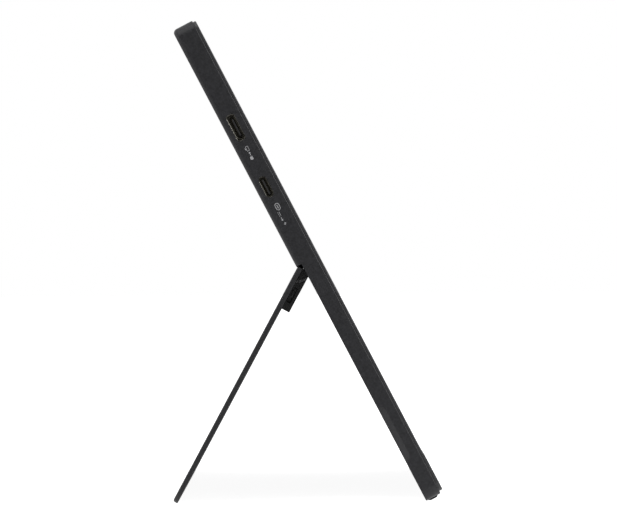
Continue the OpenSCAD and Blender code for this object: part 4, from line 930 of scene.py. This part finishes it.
studio = {
    "skyLow": 0.5, "skyHigh": 0.85,  # light from the horizon and from overhead, on matt surfaces
    # what shiny surfaces see: a dark wall at the left, pale all round, and the x of a ray where each begins
    "glossDark": 0.12, "glossBright": 1.0, "darkAt": -0.75, "brightAt": 0.15,
    # share of the floor's glow that shiny surfaces see, a painted pool of light round the object: near the object
    # and far out, and the distances between which it fades, in m
    "nearShine": 1.0, "farShine": 0.12, "shineFrom": 0.15, "shineTo": 0.5,
    "lamps": {  # power in W, size in m, place in m
        "topLamp": (14.0, 1.1, (-0.9, 0.5, 1.9)),
        "frontLamp": (30.0, 0.9, (-0.6, -2.1, 1.2)),
        "rearLamp": (14.0, 1.2, (-0.8, 2.1, 0.3)),
    },
    "aim": (0, 0, 0.1), "floorSize": 30, "floorGlow": 0.94, "floorTone": "#c8c8c8",
}


# a tree's light path outputs, and 1 for what shiny or clear surfaces see
def raysIn(tree):
    ray = addNode(tree, "ShaderNodeLightPath").outputs
    mirror = addNode(tree, "ShaderNodeMath", {"operation": "MAXIMUM"}, {
        0: ray["Is Glossy Ray"], 1: ray["Is Transmission Ray"]})
    return ray, mirror.outputs[0]


def makeStudio():
    world = bpy.data.worlds.new("studio")
    bpy.context.scene.world = world
    world.use_nodes = True
    tree = world.node_tree
    tree.nodes.clear()
    ray, mirror = raysIn(tree)
    direction = addNode(tree, "ShaderNodeSeparateXYZ", inputs={
        0: addNode(tree, "ShaderNodeTexCoord").outputs["Generated"]})
    soft = addNode(tree, "ShaderNodeMapRange", inputs={
        "Value": direction.outputs["Z"], "To Min": studio["skyLow"], "To Max": studio["skyHigh"]})
    seen = addNode(tree, "ShaderNodeMapRange", inputs={
        "Value": direction.outputs["X"], "From Min": studio["darkAt"], "From Max": studio["brightAt"],
        "To Min": studio["glossDark"], "To Max": studio["glossBright"]})
    matt = addNode(tree, "ShaderNodeBackground", inputs={"Strength": soft.outputs[0]})
    shiny = addNode(tree, "ShaderNodeBackground", inputs={"Strength": seen.outputs[0]})
    white = addNode(tree, "ShaderNodeBackground", inputs={"Strength": 1.0})
    for background in (matt, shiny, white):
        background.inputs["Color"].default_value = (1, 1, 1, 1)
    first = addNode(tree, "ShaderNodeMixShader", inputs={0: mirror, 1: matt.outputs[0], 2: shiny.outputs[0]})
    both = addNode(tree, "ShaderNodeMixShader", inputs={
        0: ray["Is Camera Ray"], 1: first.outputs[0], 2: white.outputs[0]})
    addNode(tree, "ShaderNodeOutputWorld", inputs={"Surface": both.outputs[0]})
    for name, (power, size, at) in studio["lamps"].items():
        lamp = newObject(name, bpy.data.lights.new(name, "AREA"))
        lamp.data.energy = power
        lamp.data.size = size
        lamp.location = at
        lamp.rotation_euler = (Vector(studio["aim"]) - Vector(at)).to_track_quat("-Z", "Y").to_euler()


def makeFloor():
    half = studio["floorSize"] / 2
    mesh = bpy.data.meshes.new("floor")
    mesh.from_pydata(
        [(-half, -half, 0), (half, -half, 0), (half, half, 0), (-half, half, 0)], [], [(0, 1, 2, 3)])
    floor = newObject("floor", mesh)
    material, tree, place = newMaterial("paleFloor")
    ray, mirror = raysIn(tree)
    # the floor glows for shiny surfaces near the object: a painted pool of light, seen only in reflections
    away = addNode(tree, "ShaderNodeVectorMath", {"operation": "LENGTH"}, {0: place})
    fall = addNode(tree, "ShaderNodeMapRange", inputs={
        "Value": away.outputs["Value"], "From Min": studio["shineFrom"], "From Max": studio["shineTo"],
        "To Min": studio["nearShine"], "To Max": studio["farShine"]})
    shine = addNode(tree, "ShaderNodeMath", {"operation": "MULTIPLY"}, {0: mirror, 1: fall.outputs[0]})
    direct = addNode(tree, "ShaderNodeMath", {"operation": "MAXIMUM"}, {
        0: ray["Is Camera Ray"], 1: shine.outputs[0]})
    paper = addNode(tree, "ShaderNodeBsdfDiffuse", inputs={"Color": toLinear(studio["floorTone"])})
    glow = addNode(tree, "ShaderNodeEmission", inputs={"Strength": studio["floorGlow"]})
    lit = addNode(tree, "ShaderNodeAddShader", inputs={0: paper.outputs[0], 1: glow.outputs[0]})
    endMaterial(tree, addNode(tree, "ShaderNodeMixShader", inputs={
        0: direct.outputs[0], 1: paper.outputs[0], 2: lit.outputs[0]}))
    mesh.materials.append(material)


makeCamera()
makeStudio()
makeFloor()
bpy.context.scene.view_settings.view_transform = "Standard"
print("camera, studio and floor set")
